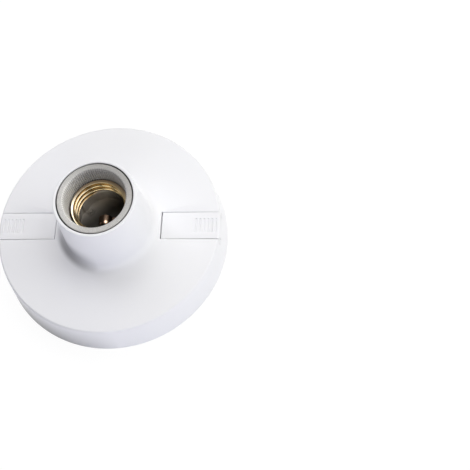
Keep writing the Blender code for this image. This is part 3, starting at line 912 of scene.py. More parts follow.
@dataclass
class BaseMoulding:
    """The white moulding: collar, dish, cover channels, fixing bosses and score lines."""

    palette: Palette
    rim_radius: float = 0.0600
    rim_land: float = 0.0017
    base_height: float = 0.0200
    face_radius: float = 0.0583
    face_rise: float = 0.0006
    face_wall: float = 0.0018
    edge_round: float = 0.0012
    inner_fillet: float = 0.0030
    bore_radius: float = 0.01935
    rear_bore_radius: float = 0.0199
    tube_wall: float = 0.0011
    tube_end: float = 0.0140
    rear_flare: float = 0.0040
    shoulder_height: float = 0.0263
    mouth_height: float = 0.0532
    mouth_outer_radius: float = 0.0210
    collar_foot_radius: float = 0.0230
    flare_radius: float = 0.0044
    lip_round: float = 0.0005
    cover_half_width: float = 0.0074
    cover_thickness: float = 0.0016
    cover_inner_end: float = 0.0280
    cover_end_gap: float = 0.0005
    slide_gap: float = 0.0003
    rear_gap: float = 0.0001
    leg_thickness: float = 0.0010
    lip_thickness: float = 0.0010
    lip_reach: float = 0.0011
    lip_drop: float = 0.0004
    channel_wall: float = 0.0017
    recess_edge: float = 0.00025
    rear_edge: float = 0.0001
    fixing_offset: float = 0.0420
    slot_length: float = 0.0210
    slot_width: float = 0.0046
    boss_length: float = 0.0252
    boss_width: float = 0.0104
    boss_end: float = 0.0004
    moulded_edge: float = 0.0003
    score_angles: tuple[float, float] = (5.547, 11.830)
    score_width: float = 0.0008
    score_height: float = 0.0095
    score_web: float = 0.0007
    snap_half_width: float = 0.0021
    snap_bottom: float = 0.0147
    snap_top: float = 0.0163
    steps: int = 288

    @property
    def channel_floor(self) -> float:
        """Height of the floor under the screw covers."""
        return self.base_height - self.cover_thickness - self.slide_gap

    @property
    def lip_top(self) -> float:
        """Height of the upper face of the covers' lips."""
        return self.channel_floor - self.face_wall - self.lip_drop

    def skirt_edge(self) -> list[Point]:
        """Return the round face edge and the sloping skirt, top to bottom."""
        draft = degrees(atan2(self.rim_radius - self.face_radius, self.base_height))
        centre = (self.face_radius - self.edge_round, self.base_height - self.edge_round)
        return arc(centre, self.edge_round, 90, draft, 10) + [(self.rim_radius, 0.0)]

    def profile(self) -> list[Point]:
        """Return the closed section of collar, face, skirt and rear tube."""
        tube_outer = self.rear_bore_radius + self.tube_wall
        foot_height = self.base_height + self.face_rise
        mouth = self.mouth_height - self.lip_round
        foot = (self.collar_foot_radius + self.flare_radius, foot_height + self.flare_radius)
        corner = (self.face_radius - self.rim_land - self.inner_fillet,
                  self.base_height - self.face_wall - self.inner_fillet)
        rear = (tube_outer + self.rear_flare, foot_height - self.face_wall - self.rear_flare)
        points = arc((self.bore_radius + self.lip_round, mouth), self.lip_round, 180, 90, 5)
        points += arc((self.mouth_outer_radius - self.lip_round, mouth), self.lip_round, 90, 0, 5)
        points += arc(foot, self.flare_radius, 180, 270, 18)
        points += self.skirt_edge() + [(self.rim_radius - self.rim_land, 0.0)]
        points += arc(corner, self.inner_fillet, 0, 90, 8) + arc(rear, self.rear_flare, 90, 180, 10)
        points += [(tube_outer, self.tube_end), (self.rear_bore_radius, self.tube_end)]
        points += [(self.rear_bore_radius, self.shoulder_height)]
        return points + [(self.bore_radius, self.shoulder_height)]

    def face_height(self, x: float) -> float:
        """Return the height of the sloping face at a distance from the axis."""
        flat_start = self.collar_foot_radius + self.flare_radius
        flat_end = self.face_radius - self.edge_round
        return self.base_height + self.face_rise * (flat_end - x) / (flat_end - flat_start)

    def obround(self, side: Side, length: float, width: float) -> Outline:
        """Return the outline of a slot or boss that runs along X."""
        reach = (length - width) / 2
        middle = side.value * self.fixing_offset

        def outline(inset: float) -> list[Point]:
            """Return the points at an inset."""
            right = arc((middle + reach, 0.0), width / 2 - inset, -90, 90, 16)
            return right + arc((middle - reach, 0.0), width / 2 - inset, 90, 270, 16)
        return outline

    def recess(self, side: Side) -> Piece:
        """Return the solid that cuts a cover's recess, with softened upper edges."""
        def flare(hand: Hand, gap: float, edge: float, top: float) -> list[Point]:
            """Return one wall of the section, from the floor up."""
            half = self.cover_half_width + gap
            wall = [(half, self.channel_floor), (half, top - edge), (half + edge * SOFT, top - edge * SOFT),
                    (half + edge, top), (half + edge + PAST, top + PAST)]
            return [(hand.value * y, z) for y, z in wall]

        loops = []
        for x in (self.cover_inner_end - self.cover_end_gap, self.rim_radius + PAST):
            top = self.face_height(x)
            front = flare(Hand.FRONT, self.slide_gap, self.recess_edge, top)
            rear = flare(Hand.REAR, self.rear_gap, self.rear_edge, top)
            loops.append([(side.value * x, y, z) for y, z in front[::-1] + rear])
        return loft("recess_" + side.tag, loops)

    def add_channel(self, base: Piece, side: Side) -> None:
        """Add the channel, leg slits and slotted boss of one screw cover."""
        wide = self.cover_half_width + self.slide_gap + self.channel_wall
        leg_inner = self.cover_half_width - self.leg_thickness - self.slide_gap
        lip_outer = self.cover_half_width + self.lip_reach + self.slide_gap
        beyond = self.rim_radius + PAST
        start = self.cover_inner_end - self.cover_end_gap
        boss_far = self.fixing_offset + self.boss_length / 2
        notch_bottom = self.lip_top - self.lip_thickness - self.slide_gap
        low, high, edge = self.boss_end, self.channel_floor, self.moulded_edge
        underside = high - self.face_wall
        inside = self.face_radius - self.rim_land / 2
        wall = rail("channel_" + side.tag, side, Hand.REAR, (start - self.channel_wall, inside),
                    (-wide, wide), (underside, self.base_height + self.face_rise - self.face_wall / 2))
        boss = stack("boss_" + side.tag, self.obround(side, self.boss_length, self.boss_width),
                     rounded_levels(low, high - self.face_wall / 2, edge, 0.0))
        combine(base, (wall, boss), Join.UNION)
        cuts = [self.recess(side)]
        for hand in Hand:
            name = side.tag + "_" + hand.tag
            gap = self.rear_gap if hand is Hand.REAR else self.slide_gap
            cuts.append(rail("slit_" + name, side, hand, (start, beyond),
                             (leg_inner, self.cover_half_width + gap), (notch_bottom, high + PAST)))
            cuts.append(rail("notch_" + name, side, hand, (boss_far, beyond), (leg_inner, lip_outer),
                             (notch_bottom, underside)))
        levels = [(low - PAST, -edge - PAST), (low, -edge), (low + edge * SOFT, -edge * SOFT),
                  (low + edge, 0.0), (high - edge, 0.0), (high, -edge), (high + PAST, -edge - PAST)]
        cuts.append(stack("slot_" + side.tag, self.obround(side, self.slot_length, self.slot_width), levels))
        combine(base, cuts, Join.CUT)

    def score_lines(self, tree: GeometryTree) -> list[Piece]:
        """Return the tools that score the knock-outs into the rear rim."""
        draft = atan2(self.rim_radius - self.face_radius, self.base_height)
        lean = Matrix.Translation((self.rim_radius, 0.0, 0.0)) @ Matrix.Rotation(-draft, 4, "Y")
        tools = []
        near, far = self.score_angles
        for name, first in (("left", 90.0 + near), ("right", 90.0 - far)):
            line = block("score_" + name, (-self.rim_land - PAST, -self.score_width / 2, -PAST),
                         (-self.score_web, self.score_width / 2, self.score_height))
            line.data.transform(lean)
            tree.run(line, Count=2, First=radians(first), Step=radians(far - near))
            tools.append(settle(line))
        return tools

    def build(self, round_axis: GeometryTree) -> None:
        """Build and dress the moulding."""
        base = revolve("base_moulding", self.profile(), self.steps)
        for side in Side:
            self.add_channel(base, side)
        combine(base, self.score_lines(round_axis), Join.CUT)
        half, inner = self.snap_half_width, self.rear_bore_radius
        combine(base, [rail("snap_window_" + hand.tag, Side.RIGHT, hand, (-half, half),
                            (inner - PAST, inner + self.tube_wall + PAST), (self.snap_bottom, self.snap_top))
                       for hand in Hand], Join.CUT)
        self.palette.dress(base, self.palette.plastic, "holder", "base_shell")


@dataclass
class ScrewCover:
    """A sliding cover over a fixing slot, with hooked legs and thumb grooves."""

    palette: Palette
    base: BaseMoulding
    side: Side
    edge: float = 0.00022
    groove_count: int = 6
    groove_first: float = 0.0457
    groove_pitch: float = 0.00202
    groove_width: float = 0.0010
    groove_length: float = 0.0078
    groove_depth: float = 0.0005

    def plate(self) -> Piece:
        """Return the flat plate with softened upper edges."""
        base = self.base
        reach = base.rim_radius + PAST
        middle = self.side.value * (base.cover_inner_end + reach) / 2
        outline = rounded_box((reach - base.cover_inner_end) / 2, base.cover_half_width, self.edge,
                              (middle, 0.0))
        return stack("cover_" + self.side.tag, outline, rounded_levels(
            base.base_height - base.cover_thickness, base.base_height, 0.0, self.edge))

    def legs(self) -> list[Piece]:
        """Return the two legs and their lips."""
        base = self.base
        outer, leg = base.cover_half_width, base.leg_thickness
        out = (base.cover_inner_end, base.rim_radius + PAST)
        foot = base.lip_top - base.lip_thickness
        parts = []
        for hand in Hand:
            name = self.side.tag + "_" + hand.tag
            parts.append(rail("leg_" + name, self.side, hand, out, (outer - leg, outer),
                              (foot, base.base_height - base.cover_thickness / 2)))
            parts.append(rail("lip_" + name, self.side, hand, out,
                              (outer - leg / 2, outer + base.lip_reach), (foot, base.lip_top)))
        return parts

    def grooves(self, tree: GeometryTree) -> Piece:
        """Return the tool that cuts the row of thumb grooves."""
        top, deep, edge = self.base.base_height, self.groove_depth, self.groove_depth / 2
        first = self.side.value * self.groove_first
        outline = rounded_box(self.groove_width / 2, self.groove_length / 2, self.groove_width / 3,
                              (first, 0.0))
        levels = [(top - deep, edge), (top - deep * 0.8, edge * 0.4), (top - edge, 0.0),
                  (top, -edge * 0.5), (top + PAST, -edge * 0.5 - PAST / 4)]
        tool = stack("grooves_" + self.side.tag, outline, levels)
        tree.run(tool, Count=self.groove_count, Pitch=self.side.value * self.groove_pitch)
        return settle(tool)

    def build(self, along_line: GeometryTree) -> None:
        """Build and dress the cover."""
        base, tag = self.base, self.side.tag
        cover = self.plate()
        combine(cover, self.legs(), Join.UNION)
        section = [(0.0, base.base_height)] + base.skirt_edge() + [(0.0, 0.0)]
        combine(cover, [revolve("envelope_" + tag, section, base.steps)], Join.KEEP)
        combine(cover, [self.grooves(along_line)], Join.CUT)
        self.palette.dress(cover, self.palette.plastic, tag + "_screw_cover", "slide_cover_" + tag)


@dataclass
class LampSocket:
    """Porcelain core, threaded shell, centre contact and their rivets."""

    palette: Palette
    core_radius: float = 0.01875
    flange_radius: float = 0.0196
    core_top: float = 0.0530
    core_shoulder: float = 0.0260
    shoulder_step: float = 0.0005
    core_back: float = 0.0173
    core_floor: float = 0.0240
    bore_radius: float = 0.0136
    pocket_radius: float = 0.0153
    mouth_radius: float = 0.0158
    mouth_step: float = 0.0442
    shell_seat: float = 0.0316
    rim_round: float = 0.0006
    wall_rows: int = 12
    ribs: int = 90
    rib_depth: float = 0.00035
    rib_fade: float = 0.0004
    barrier_half_width: float = 0.0020
    barrier_reach: float = 0.0176
    barrier_end: float = 0.0134
    core_edge: float = 0.0003
    socket_offset: float = 0.0094
    socket_radius: float = 0.00205
    socket_top: float = 0.0233
    rivet_hole: float = 0.0013
    shell_wall: float = 0.00035
    shell_bottom: float = 0.0319
    shell_top: float = 0.0440
    leg_base: float = 0.0243
    leg_width: float = 0.0040
    leg_lap: float = 0.0006
    leg_inner: float = 0.0126
    leg_outer: float = 0.01305
    leg_reach: float = 0.0019
    contact_base: float = 0.02445
    contact_width: float = 0.0050
    contact_thickness: float = 0.0005
    contact_rise: float = 0.0032
    contact_tip: float = -0.0032
    contact_crown: float = 0.0030
    contact_arc: Point = (55.0, 130.0)
    contact_droop: float = 0.0017
    contact_hole: float = 0.0014
    contact_gap: float = 0.00045
    contact_ends: Point = (0.0017, 0.0013)
    contact_root_half: float = 0.0021
    contact_rivet_offset: float = 0.0049
    shell_rivet_circle: float = 0.0108
    shell_rivet_angle: float = 145.0
    leg_gap: float = 0.0003
    shell_ends: Point = (0.0014, 0.0014)
    rivet_radius: float = 0.0010
    rivet_flats: Point = (0.62, 0.75)
    rivet_head_height: float = 0.0007
    plate_back: float = 0.0157
    steps: int = 720
    small_steps: int = 40

    def core_profile(self) -> list[Point]:
        """Return the closed section of the core, with rows for the ribs in its mouth."""
        top, rows = self.core_top - self.rim_round, self.wall_rows
        wall = [(self.pocket_radius + (self.mouth_radius - self.pocket_radius) * index / rows,
                 self.mouth_step + (top - self.mouth_step) * index / rows) for index in range(rows)]
        points = [(0.0, self.core_floor), (self.bore_radius, self.core_floor)]
        points += [(self.bore_radius, self.shell_seat), (self.pocket_radius, self.shell_seat)] + wall
        points += arc((self.mouth_radius + self.rim_round, top), self.rim_round, 180, 90, 6)
        points += arc((self.core_radius - self.rim_round, top), self.rim_round, 90, 0, 6)
        points += [(self.core_radius, self.core_shoulder + self.shoulder_step)]
        points += [(self.core_radius, self.core_shoulder), (self.flange_radius, self.core_shoulder)]
        return points + [(self.flange_radius, self.core_back), (0.0, self.core_back)]

    def rivet_places(self) -> list[Point]:
        """Return where the rivets pass through the floor."""
        angle = radians(self.shell_rivet_angle)
        across, along = self.shell_rivet_circle * cos(angle), self.shell_rivet_circle * sin(angle)
        return [(self.contact_rivet_offset, 0.0), (across, -along), (across, along)]

    def build_core(self, ribs: GeometryTree) -> None:
        """Build and dress the porcelain core."""
        core = revolve("porcelain_lining", self.core_profile(), self.steps)
        ribs.run(core, Radius=self.mouth_radius, Foot=self.pocket_radius, Depth=self.rib_depth,
                 Ribs=float(self.ribs), Bottom=self.mouth_step, Top=self.core_top - self.rim_round,
                 Fade=self.rib_fade)
        settle(core)
        barrier = stack("barrier", rounded_box(self.barrier_half_width, self.barrier_reach, self.core_edge),
                        rounded_levels(self.barrier_end, self.core_back + PAST, self.core_edge, 0.0))
        combine(core, [barrier], Join.UNION)
        low = self.core_back - PAST
        cuts = [pin("screw_socket_" + side.tag, self.socket_radius, (side.value * self.socket_offset, 0.0),
                    low, self.socket_top, self.small_steps) for side in Side]
        cuts += [pin("rivet_hole_%d" % index, self.rivet_hole, place, low, self.core_floor + PAST,
                     self.small_steps) for index, place in enumerate(self.rivet_places())]
        combine(core, cuts, Join.CUT)
        self.palette.dress(core, self.palette.porcelain, "holder", "porcelain_core")

    def leg(self, hand: Hand) -> Piece:
        """Return a bent leg from the shell's lower edge down and in to its rivet."""
        foot_end = self.shell_rivet_circle - self.leg_reach
        low, high = self.leg_base, self.shell_bottom + self.leg_lap
        outline = [(foot_end, low), (self.leg_outer, low), (self.leg_outer, high), (self.leg_inner, high)]
        outline += [(self.leg_inner, low + self.shell_wall), (foot_end, low + self.shell_wall)]
        half = self.leg_width / 2
        leg = loft("shell_leg_" + hand.tag, [[(x, y, z) for x, z in outline] for y in (-half, half)])
        leg.data.transform(Matrix.Rotation(radians(hand.value * self.shell_rivet_angle), 4, "Z"))
        return leg

    def build_shell(self, thread: GeometryTree) -> None:
        """Build and dress the threaded shell with its two legs."""
        shell = object_from("threaded_shell", bmesh.new())
        thread.run(shell, Bottom=self.shell_bottom, Top=self.shell_top)
        mesh = settle(shell).data
        if sum(face.normal.xy.dot(face.center.xy) for face in mesh.polygons) < 0.0:
            mesh.flip_normals()
        wall = shell.modifiers.new("wall", "SOLIDIFY")
        wall.thickness = self.shell_wall
        wall.offset = 1.0
        wall.use_even_offset = True
        combine(shell, [self.leg(hand) for hand in Hand], Join.UNION)
        combine(shell, [pin("leg_hole_%d" % index, self.rivet_hole, place, self.leg_base - PAST,
                            self.leg_base + PAST, self.small_steps)
                        for index, place in enumerate(self.rivet_places()[1:])], Join.CUT)
        self.palette.dress(shell, self.palette.brass, "holder", "screw_shell")

    def build_contact(self) -> None:
        """Build and dress the bent leaf of the centre contact."""
        low, thick, crown = self.contact_base, self.contact_thickness, self.contact_crown
        top = low + self.contact_rise
        middle = self.contact_rivet_offset
        path = [(middle + self.contact_root_half, low), (middle - self.contact_root_half, low)]
        path += arc((0.0, top - crown), crown, *self.contact_arc, 14)
        path += [(self.contact_tip, top - self.contact_droop)]
        upper = []
        for index, point in enumerate(path):
            before, after = Vector(path[max(index - 1, 0)]), Vector(path[min(index + 1, len(path) - 1)])
            along = (after - before).normalized()
            upper.append((point[0] + along.y * thick, point[1] - along.x * thick))
        section = path + upper[::-1]
        slim = [midpoint(point, midpoint(point, other)) for point, other in zip(section, section[::-1])]
        half, edge = self.contact_width / 2, thick * SOFT
        loops = [[(x, y, z) for x, z in shape] for y, shape in (
            (-half, slim), (-half + edge, section), (half - edge, section), (half, slim))]
        leaf = loft("contact_leaf_strip", loops)
        combine(leaf, [pin("contact_hole", self.contact_hole, (middle, 0.0), low - PAST, low + PAST,
                           self.small_steps)], Join.CUT)
        self.palette.dress(leaf, self.palette.bronze, "contact_leaf", "centre_contact")

    def rivet(self, name: str, place: Point, bottom: float, head: float, tail: float) -> Piece:
        """Make a rivet from its head inside the shell to its tail behind a plate.

        Args:
            name: Name of the object.
            place: Where its axis stands.
            bottom: Height of the head's lower face.
            head: Radius of the head.
            tail: Radius of the tail.

        Returns:
            The new object.
        """
        high, back, flats = self.rivet_head_height, self.plate_back, self.rivet_flats
        profile = [(0.0, bottom + high)]
        profile += [(head * (flats[0] + (1.0 - flats[0]) * r), bottom + z * high)
                    for r, z in arc((0.0, 0.0), 1.0, 90, 0, 6)]
        profile += [(self.rivet_radius, bottom), (self.rivet_radius, back), (tail, back)]
        profile += [(tail * (flats[1] + (1.0 - flats[1]) * r), back - z * high)
                    for r, z in arc((0.0, 0.0), 1.0, 20, 90, 5)]
        return revolve(name, profile + [(0.0, back - high)], self.small_steps, place)

    def build_rivets(self, round_axis: GeometryTree) -> None:
        """Build and dress the contact's rivet and the two of the shell."""
        brass = self.palette.brass
        height = self.contact_base + self.contact_thickness + self.contact_gap
        contact = self.rivet("contact_rivet_head", self.rivet_places()[0], height, *self.contact_ends)
        self.palette.dress(contact, brass, "holder", "contact_rivet")
        pair = self.rivet("shell_rivet_heads", (self.shell_rivet_circle, 0.0),
                          self.leg_base + self.shell_wall + self.leg_gap, *self.shell_ends)
        first = radians(self.shell_rivet_angle)
        round_axis.run(pair, self.palette.of(brass), Count=2, First=first, Step=-2.0 * first)
        self.palette.dress(pair, brass, "holder", "shell_rivet_front", "shell_rivet_rear")

    def build(self, ribs: GeometryTree, thread: GeometryTree, round_axis: GeometryTree) -> None:
        """Build every piece of the socket."""
        self.build_core(ribs)
        self.build_shell(thread)
        self.build_contact()
        self.build_rivets(round_axis)


@dataclass
class Terminal:
    """Terminal plate, clamp washer and terminal screw of one pole."""

    palette: Palette
    side: Side
    offset: float = 0.0094
    head_radius: float = 0.0026
    head_bottom: float = 0.0126
    head_top: float = 0.0143
    head_dome: float = 0.0007
    shank_radius: float = 0.00175
    screw_length: float = 0.0080
    point_share: float = 0.7
    point_height: float = 0.0006
    cross_share: float = 0.66
    cross_flare: float = 0.0002
    cross_taper: float = 0.22
    cross_width: float = 0.0008
    cross_depth: float = 0.0009
    cross_turn: float = 25.0
    plate_bottom: float = 0.0160
    plate_top: float = 0.0170
    plate_inner: float = 0.0062
    plate_outer: float = 0.0156
    plate_half_depth: float = 0.0082
    plate_chamfer: float = 0.0022
    tongue_reach: float = 0.0028
    tongue_half: float = 0.0022
    washer_half: float = 0.0029
    washer_bottom: float = 0.0146
    washer_top: float = 0.0155
    bore_radius: float = 0.00205
    rivet_hole: float = 0.0013
    edge: float = 0.00012
    steps: int = 48

    @property
    def place(self) -> Point:
        """Where the screw's axis stands."""
        return self.side.value * self.offset, 0.0

    def build_screw(self) -> None:
        """Build and dress the terminal screw with its cross recess."""
        low, dome, shank = self.head_bottom, self.head_dome, self.shank_radius
        end = self.head_top + self.screw_length
        profile = [(0.0, end), (shank * self.point_share, end), (shank, end - self.point_height)]
        profile += [(shank, self.head_top), (self.head_radius - self.edge, self.head_top)]
        profile += [(self.head_radius, self.head_top - self.edge)]
        profile += [(self.head_radius - dome + dome * r, low + dome - dome * z)
                    for r, z in arc((0.0, 0.0), 1.0, 0, 90, 7)]
        profile += [(0.0, low)]
        screw = revolve("terminal_screw_head_" + self.side.tag, profile, self.steps, self.place)
        width = self.cross_width
        arms = []
        for index in range(2):
            outline = rounded_box(self.head_radius * self.cross_share, width / 2, width / 4)
            arm = stack("cross_%s_%d" % (self.side.tag, index), outline, [
                (low - PAST, -self.cross_flare), (low, 0.0),
                (low + self.cross_depth, width * self.cross_taper)])
            turn = Matrix.Rotation(radians(self.cross_turn + 90.0 * index), 4, "Z")
            arm.data.transform(Matrix.Translation((*self.place, 0.0)) @ turn)
            arms.append(arm)
        combine(screw, arms, Join.CUT)
        self.palette.dress(screw, self.palette.brass, self.side.tag + "_terminal_screw",
                           "terminal_screw_" + self.side.tag)

    def bore(self, name: str, place: Point, radius: float) -> Piece:
        """Return an upright round tool through washer and plate."""
        return pin(name, radius, place, self.head_top, self.plate_top + PAST, self.steps)

    def build_plate(self, rivets: Iterable[Point]) -> None:
        """Build and dress the terminal plate."""
        deep, cut, near, far = self.plate_half_depth, self.plate_chamfer, self.plate_inner, self.plate_outer
        half = [(near, -deep), (far - cut, -deep), (far, -deep + cut), (far, deep - cut), (far - cut, deep),
                (near, deep)]
        points = [(self.side.value * x, y) for x, y in half][::self.side.value]
        levels = rounded_levels(self.plate_bottom, self.plate_top, self.edge, self.edge, 3)
        plate = stack("terminal_strip_" + self.side.tag, convex(points), levels)
        if self.side is Side.RIGHT:
            end, reach = near + PAST, self.tongue_reach
            outline = rounded_box((end - reach) / 2, self.tongue_half, self.edge * 2,
                                  ((end + reach) / 2, 0.0))
            combine(plate, [stack("tongue", outline, levels)], Join.UNION)
        cuts = [self.bore("plate_bore_" + self.side.tag, self.place, self.bore_radius)]
        cuts += [self.bore("plate_hole_%d" % index, spot, self.rivet_hole)
                 for index, spot in enumerate(rivets) if spot[0] * self.side.value > 0.0]
        combine(plate, cuts, Join.CUT)
        self.palette.dress(plate, self.palette.nickel, "holder", "terminal_plate_" + self.side.tag)

    def build_washer(self) -> None:
        """Build and dress the clamp washer."""
        tag, half = self.side.tag, self.washer_half
        washer = stack("wire_clamp_" + tag, rounded_box(half, half, self.edge * 4, self.place),
                       rounded_levels(self.washer_bottom, self.washer_top, self.edge, self.edge, 3))
        combine(washer, [self.bore("washer_bore_" + tag, self.place, self.bore_radius)], Join.CUT)
        self.palette.dress(washer, self.palette.nickel, "holder", "clamp_washer_" + tag)

    def build(self, rivets: Iterable[Point]) -> None:
        """Build every piece of the terminal."""
        self.build_screw()
        self.build_plate(rivets)
        self.build_washer()


@dataclass
class WiringCover:
    """Round rear cover over the terminals, with spine, bridge, screw wells and windows."""

    palette: Palette
    outer_radius: float = 0.0196
    spigot_wall: float = 0.0014
    face: float = 0.0116
    plate: float = 0.0013
    spigot_top: float = 0.0170
    edge: float = 0.0005
    band_reach: float = 0.0186
    band_edge: float = 0.00035
    spine_half_width: float = 0.0052
    spine_end: float = 0.0096
    bridge_half_width: float = 0.0047
    bridge_end: float = 0.0100
    well_offset: float = 0.0094
    well_radius: float = 0.0042
    well_hole: float = 0.0030
    well_end: float = 0.0092
    window_near: float = 0.0049
    window_far: float = 0.0093
    window_inner: float = 0.0058
    window_rim: float = 0.0002
    snap_half_width: float = 0.0018
    snap_reach: float = 0.0008
    snap_height: float = 0.0010
    snap_place: float = 0.0150
    steps: int = 144

    def band(self, half: float, turned: bool) -> Outline:
        """Return the outline of a band across the cover, with ends on its circle."""
        def outline(inset: float) -> list[Point]:
            """Return the points at an inset."""
            reach, width = self.band_reach - inset, half - inset
            angle = degrees(asin(width / reach))
            points = arc((0.0, 0.0), reach, -angle, angle, 12)
            points += arc((0.0, 0.0), reach, 180 - angle, 180 + angle, 12)
            return [(-y, x) for x, y in points] if turned else points
        return outline

    def window(self, side: Side, hand: Hand) -> Piece:
        """Return the tool that opens one wire window."""
        reach = self.outer_radius - self.spigot_wall - self.window_rim
        low, high = self.window_near, self.window_far
        start, end = (degrees(asin(y / reach)) for y in (low, high))
        points = arc((0.0, 0.0), reach, start, end, 8)
        points = [(self.window_inner, low)] + points + [(self.window_inner, high)]
        placed = [(side.value * x, hand.value * y) for x, y in points][::side.value * hand.value]
        edge = self.window_rim
        levels = [(self.face - PAST, -edge), (self.face, -edge), (self.face + edge, 0.0),
                  (self.face + self.plate + PAST / 2, 0.0)]
        return stack("window_%s_%s" % (side.tag, hand.tag), convex(placed), levels)

    def build(self) -> None:
        """Build and dress the cover."""
        outer, face, edge, rim = self.outer_radius, self.face, self.edge, self.band_edge
        inside, under, root = outer - self.spigot_wall, face + self.plate, face + self.plate / 2
        profile = [(0.0, under), (inside, under), (inside, self.spigot_top), (outer, self.spigot_top)]
        profile += arc((outer - edge, face + edge), edge, 0, -90, 6)
        cover = revolve("rear_wiring_cover", profile + [(0.0, face)], self.steps)
        adds = [stack("spine", self.band(self.spine_half_width, True),
                      rounded_levels(self.spine_end, root, rim, 0.0)),
                stack("bridge", self.band(self.bridge_half_width, False),
                      rounded_levels(self.bridge_end, root, rim, 0.0))]
        cuts = []
        for side in Side:
            place, end = (side.value * self.well_offset, 0.0), self.well_end
            adds.append(stack("well_" + side.tag, disc(self.well_radius, place),
                              rounded_levels(end, root, rim, 0.0)))
            cuts.append(stack("well_hole_" + side.tag, disc(self.well_hole, place), [
                (end - PAST, -rim), (end, -rim), (end + rim, 0.0), (under + PAST, 0.0)]))
            cuts += [self.window(side, hand) for hand in Hand]
        half, low = self.snap_half_width, self.snap_place
        adds += [rail("snap_lug_" + hand.tag, Side.RIGHT, hand, (-half, half),
                      (inside + self.spigot_wall / 2, outer + self.snap_reach), (low, low + self.snap_height))
                 for hand in Hand]
        combine(cover, adds, Join.UNION)
        combine(cover, cuts, Join.CUT)
        self.palette.dress(cover, self.palette.plastic, "holder", "wiring_cover")


# The room round the holder


@dataclass(frozen=True)
class Lamp:
    """A square soft lamp that faces the holder from an azimuth and an elevation."""

    name: str
    azimuth: float
    elevation: float
    power: float
    colour: Triple = (1.0, 1.0, 1.0)
    size: float = 0.30
    distance: float = 0.75

    def direction(self) -> Vector:
        """Return the unit direction from the holder to the lamp."""
        turn, rise = radians(self.azimuth), radians(self.elevation)
        return Vector((cos(rise) * cos(turn), cos(rise) * sin(turn), sin(rise)))

    def build(self, target: Triple) -> None:
        """Add the lamp to the scene."""
        light = bpy.data.lights.new(self.name, "AREA")
        light.size = self.size
        light.energy = self.power
        light.color = self.colour
        stand = linked(self.name, light)
        stand.location = Vector(target) + self.direction() * self.distance
        stand.rotation_euler = (-self.direction()).to_track_quat("-Z", "Y").to_euler()


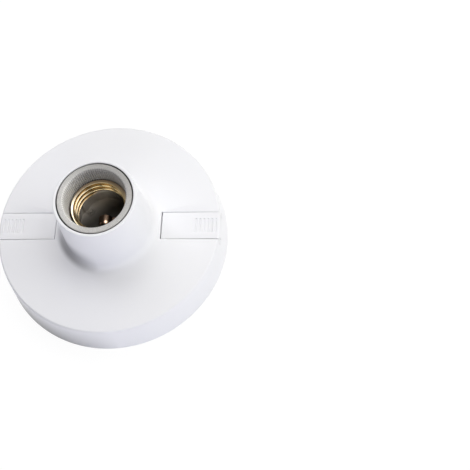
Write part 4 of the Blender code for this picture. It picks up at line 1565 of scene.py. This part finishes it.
@dataclass
class Studio:
    """Pale floor, soft lamps, even world and the camera."""

    floor_half: float = 3.0
    floor_colour: Triple = (0.92, 0.92, 0.93)
    floor_white: float = 0.90
    floor_glow: float = 1.04
    world_colour: Triple = (1.0, 1.0, 1.03)
    world_strength: float = 0.03
    lamps: tuple[Lamp, ...] = (
        Lamp("right_key_low", 22.0, 32.0, 0.86, (1.0, 0.97, 0.90), 0.42),
        Lamp("right_key_high", 0.0, 55.0, 0.88, (0.95, 0.96, 1.0), 0.42),
        Lamp("right_low", 0.0, 10.0, 1.05, (0.97, 0.99, 1.0)),
        Lamp("rear_key_right", 60.0, 55.0, 2.03, (1.0, 1.0, 0.98), 0.55),
        Lamp("rear_key_left", 120.0, 55.0, 1.62, (0.97, 0.96, 1.0), 0.42),
        Lamp("rear_key_low", 90.0, 32.0, 0.31, (1.0, 0.98, 0.70)),
        Lamp("rear_left_low", 135.0, 10.0, 0.75, (0.74, 0.74, 1.0)),
        Lamp("front_low", 270.0, 10.0, 1.45, (0.76, 0.79, 1.0)),
        *(Lamp(name, azimuth, 36.0, power, (1.0, 0.97, 0.92), 0.32) for name, azimuth, power in (
            ("band_left", 200.0, 0.20), ("band_front_left", 245.0, 0.60),
            ("band_front_right", 285.0, 0.58), ("band_right", 325.0, 0.42))),
    )
    target: Triple = (0.0, 0.0, 0.025)
    eye: Triple = (0.123164, -0.215007, 0.493230)
    ahead: Triple = (-0.109683, 0.402221, -0.908949)
    upward: Triple = (0.004273, 0.914649, 0.404227)
    lens: float = 78.502
    sensor: float = 36.0

    def build_floor(self) -> None:
        """Build the floor, which shows white and keeps a soft shadow."""
        half = self.floor_half
        data = bmesh.new()
        corners = ((-half, -half), (half, -half), (half, half), (-half, half))
        data.faces.new([data.verts.new((x, y, 0.0)) for x, y in corners])
        floor = object_from("studio_floor", data)
        paper = bpy.data.materials.new("paper_floor")
        graph = shader_graph(paper)
        ray = graph.node("ShaderNodeLightPath", output="Is Camera Ray")
        seen = graph.clamp(ray + ray.other("Is Glossy Ray") + ray.other("Is Transmission Ray"))
        matt = graph.node("ShaderNodeBsdfDiffuse", {"Color": (*self.floor_colour, 1.0)})
        white = graph.node("ShaderNodeEmission", {"Color": WHITE, "Strength": self.floor_glow})
        pale = graph.node("ShaderNodeMixShader", {0: self.floor_white, 1: matt, 2: white})
        shown = graph.node("ShaderNodeMixShader", {0: seen, 1: matt, 2: pale})
        graph.node("ShaderNodeOutputMaterial", {"Surface": shown})
        floor.data.materials.append(paper)

    def build_world(self) -> None:
        """Build the even pale surroundings."""
        world = bpy.data.worlds.new("studio_world")
        graph = shader_graph(world)
        ray = graph.node("ShaderNodeLightPath", output="Is Camera Ray")
        soft = graph.node("ShaderNodeBackground", {
            "Color": (*self.world_colour, 1.0), "Strength": self.world_strength})
        white = graph.node("ShaderNodeBackground", {"Color": WHITE, "Strength": 1.0})
        shown = graph.node("ShaderNodeMixShader", {0: ray, 1: soft, 2: white})
        graph.node("ShaderNodeOutputWorld", {"Surface": shown})
        bpy.context.scene.world = world

    def build_camera(self) -> None:
        """Build the camera at the photograph's viewing angle."""
        lens = bpy.data.cameras.new("photo_camera")
        lens.sensor_width = self.sensor
        lens.lens = self.lens
        lens.clip_start = 0.01
        camera = linked("photo_camera", lens)
        back = -Vector(self.ahead).normalized()
        right = Vector(self.upward).cross(back).normalized()
        camera.matrix_world = Matrix.Translation(self.eye) @ Matrix(
            (right, back.cross(right), back)).transposed().to_4x4()
        bpy.context.scene.camera = camera

    def build(self) -> None:
        """Build the whole room and set the view transform."""
        self.build_floor()
        for lamp in self.lamps:
            lamp.build(self.target)
        self.build_world()
        self.build_camera()
        bpy.context.scene.view_settings.view_transform = "Standard"


def main() -> None:
    """Build every piece of the holder and the room round it."""
    logging.basicConfig(level=logging.INFO, format="%(name)s: %(message)s")
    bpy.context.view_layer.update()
    palette = Palette()
    round_axis, along_line = round_axis_tree(), along_line_tree()
    Studio().build()
    base = BaseMoulding(palette)
    base.build(round_axis)
    for side in Side:
        ScrewCover(palette, base, side).build(along_line)
    socket = LampSocket(palette)
    socket.build(rib_tree(), thread_tree(), round_axis)
    for side in Side:
        Terminal(palette, side).build(socket.rivet_places())
    WiringCover(palette).build()


if __name__ == "__main__":
    main()
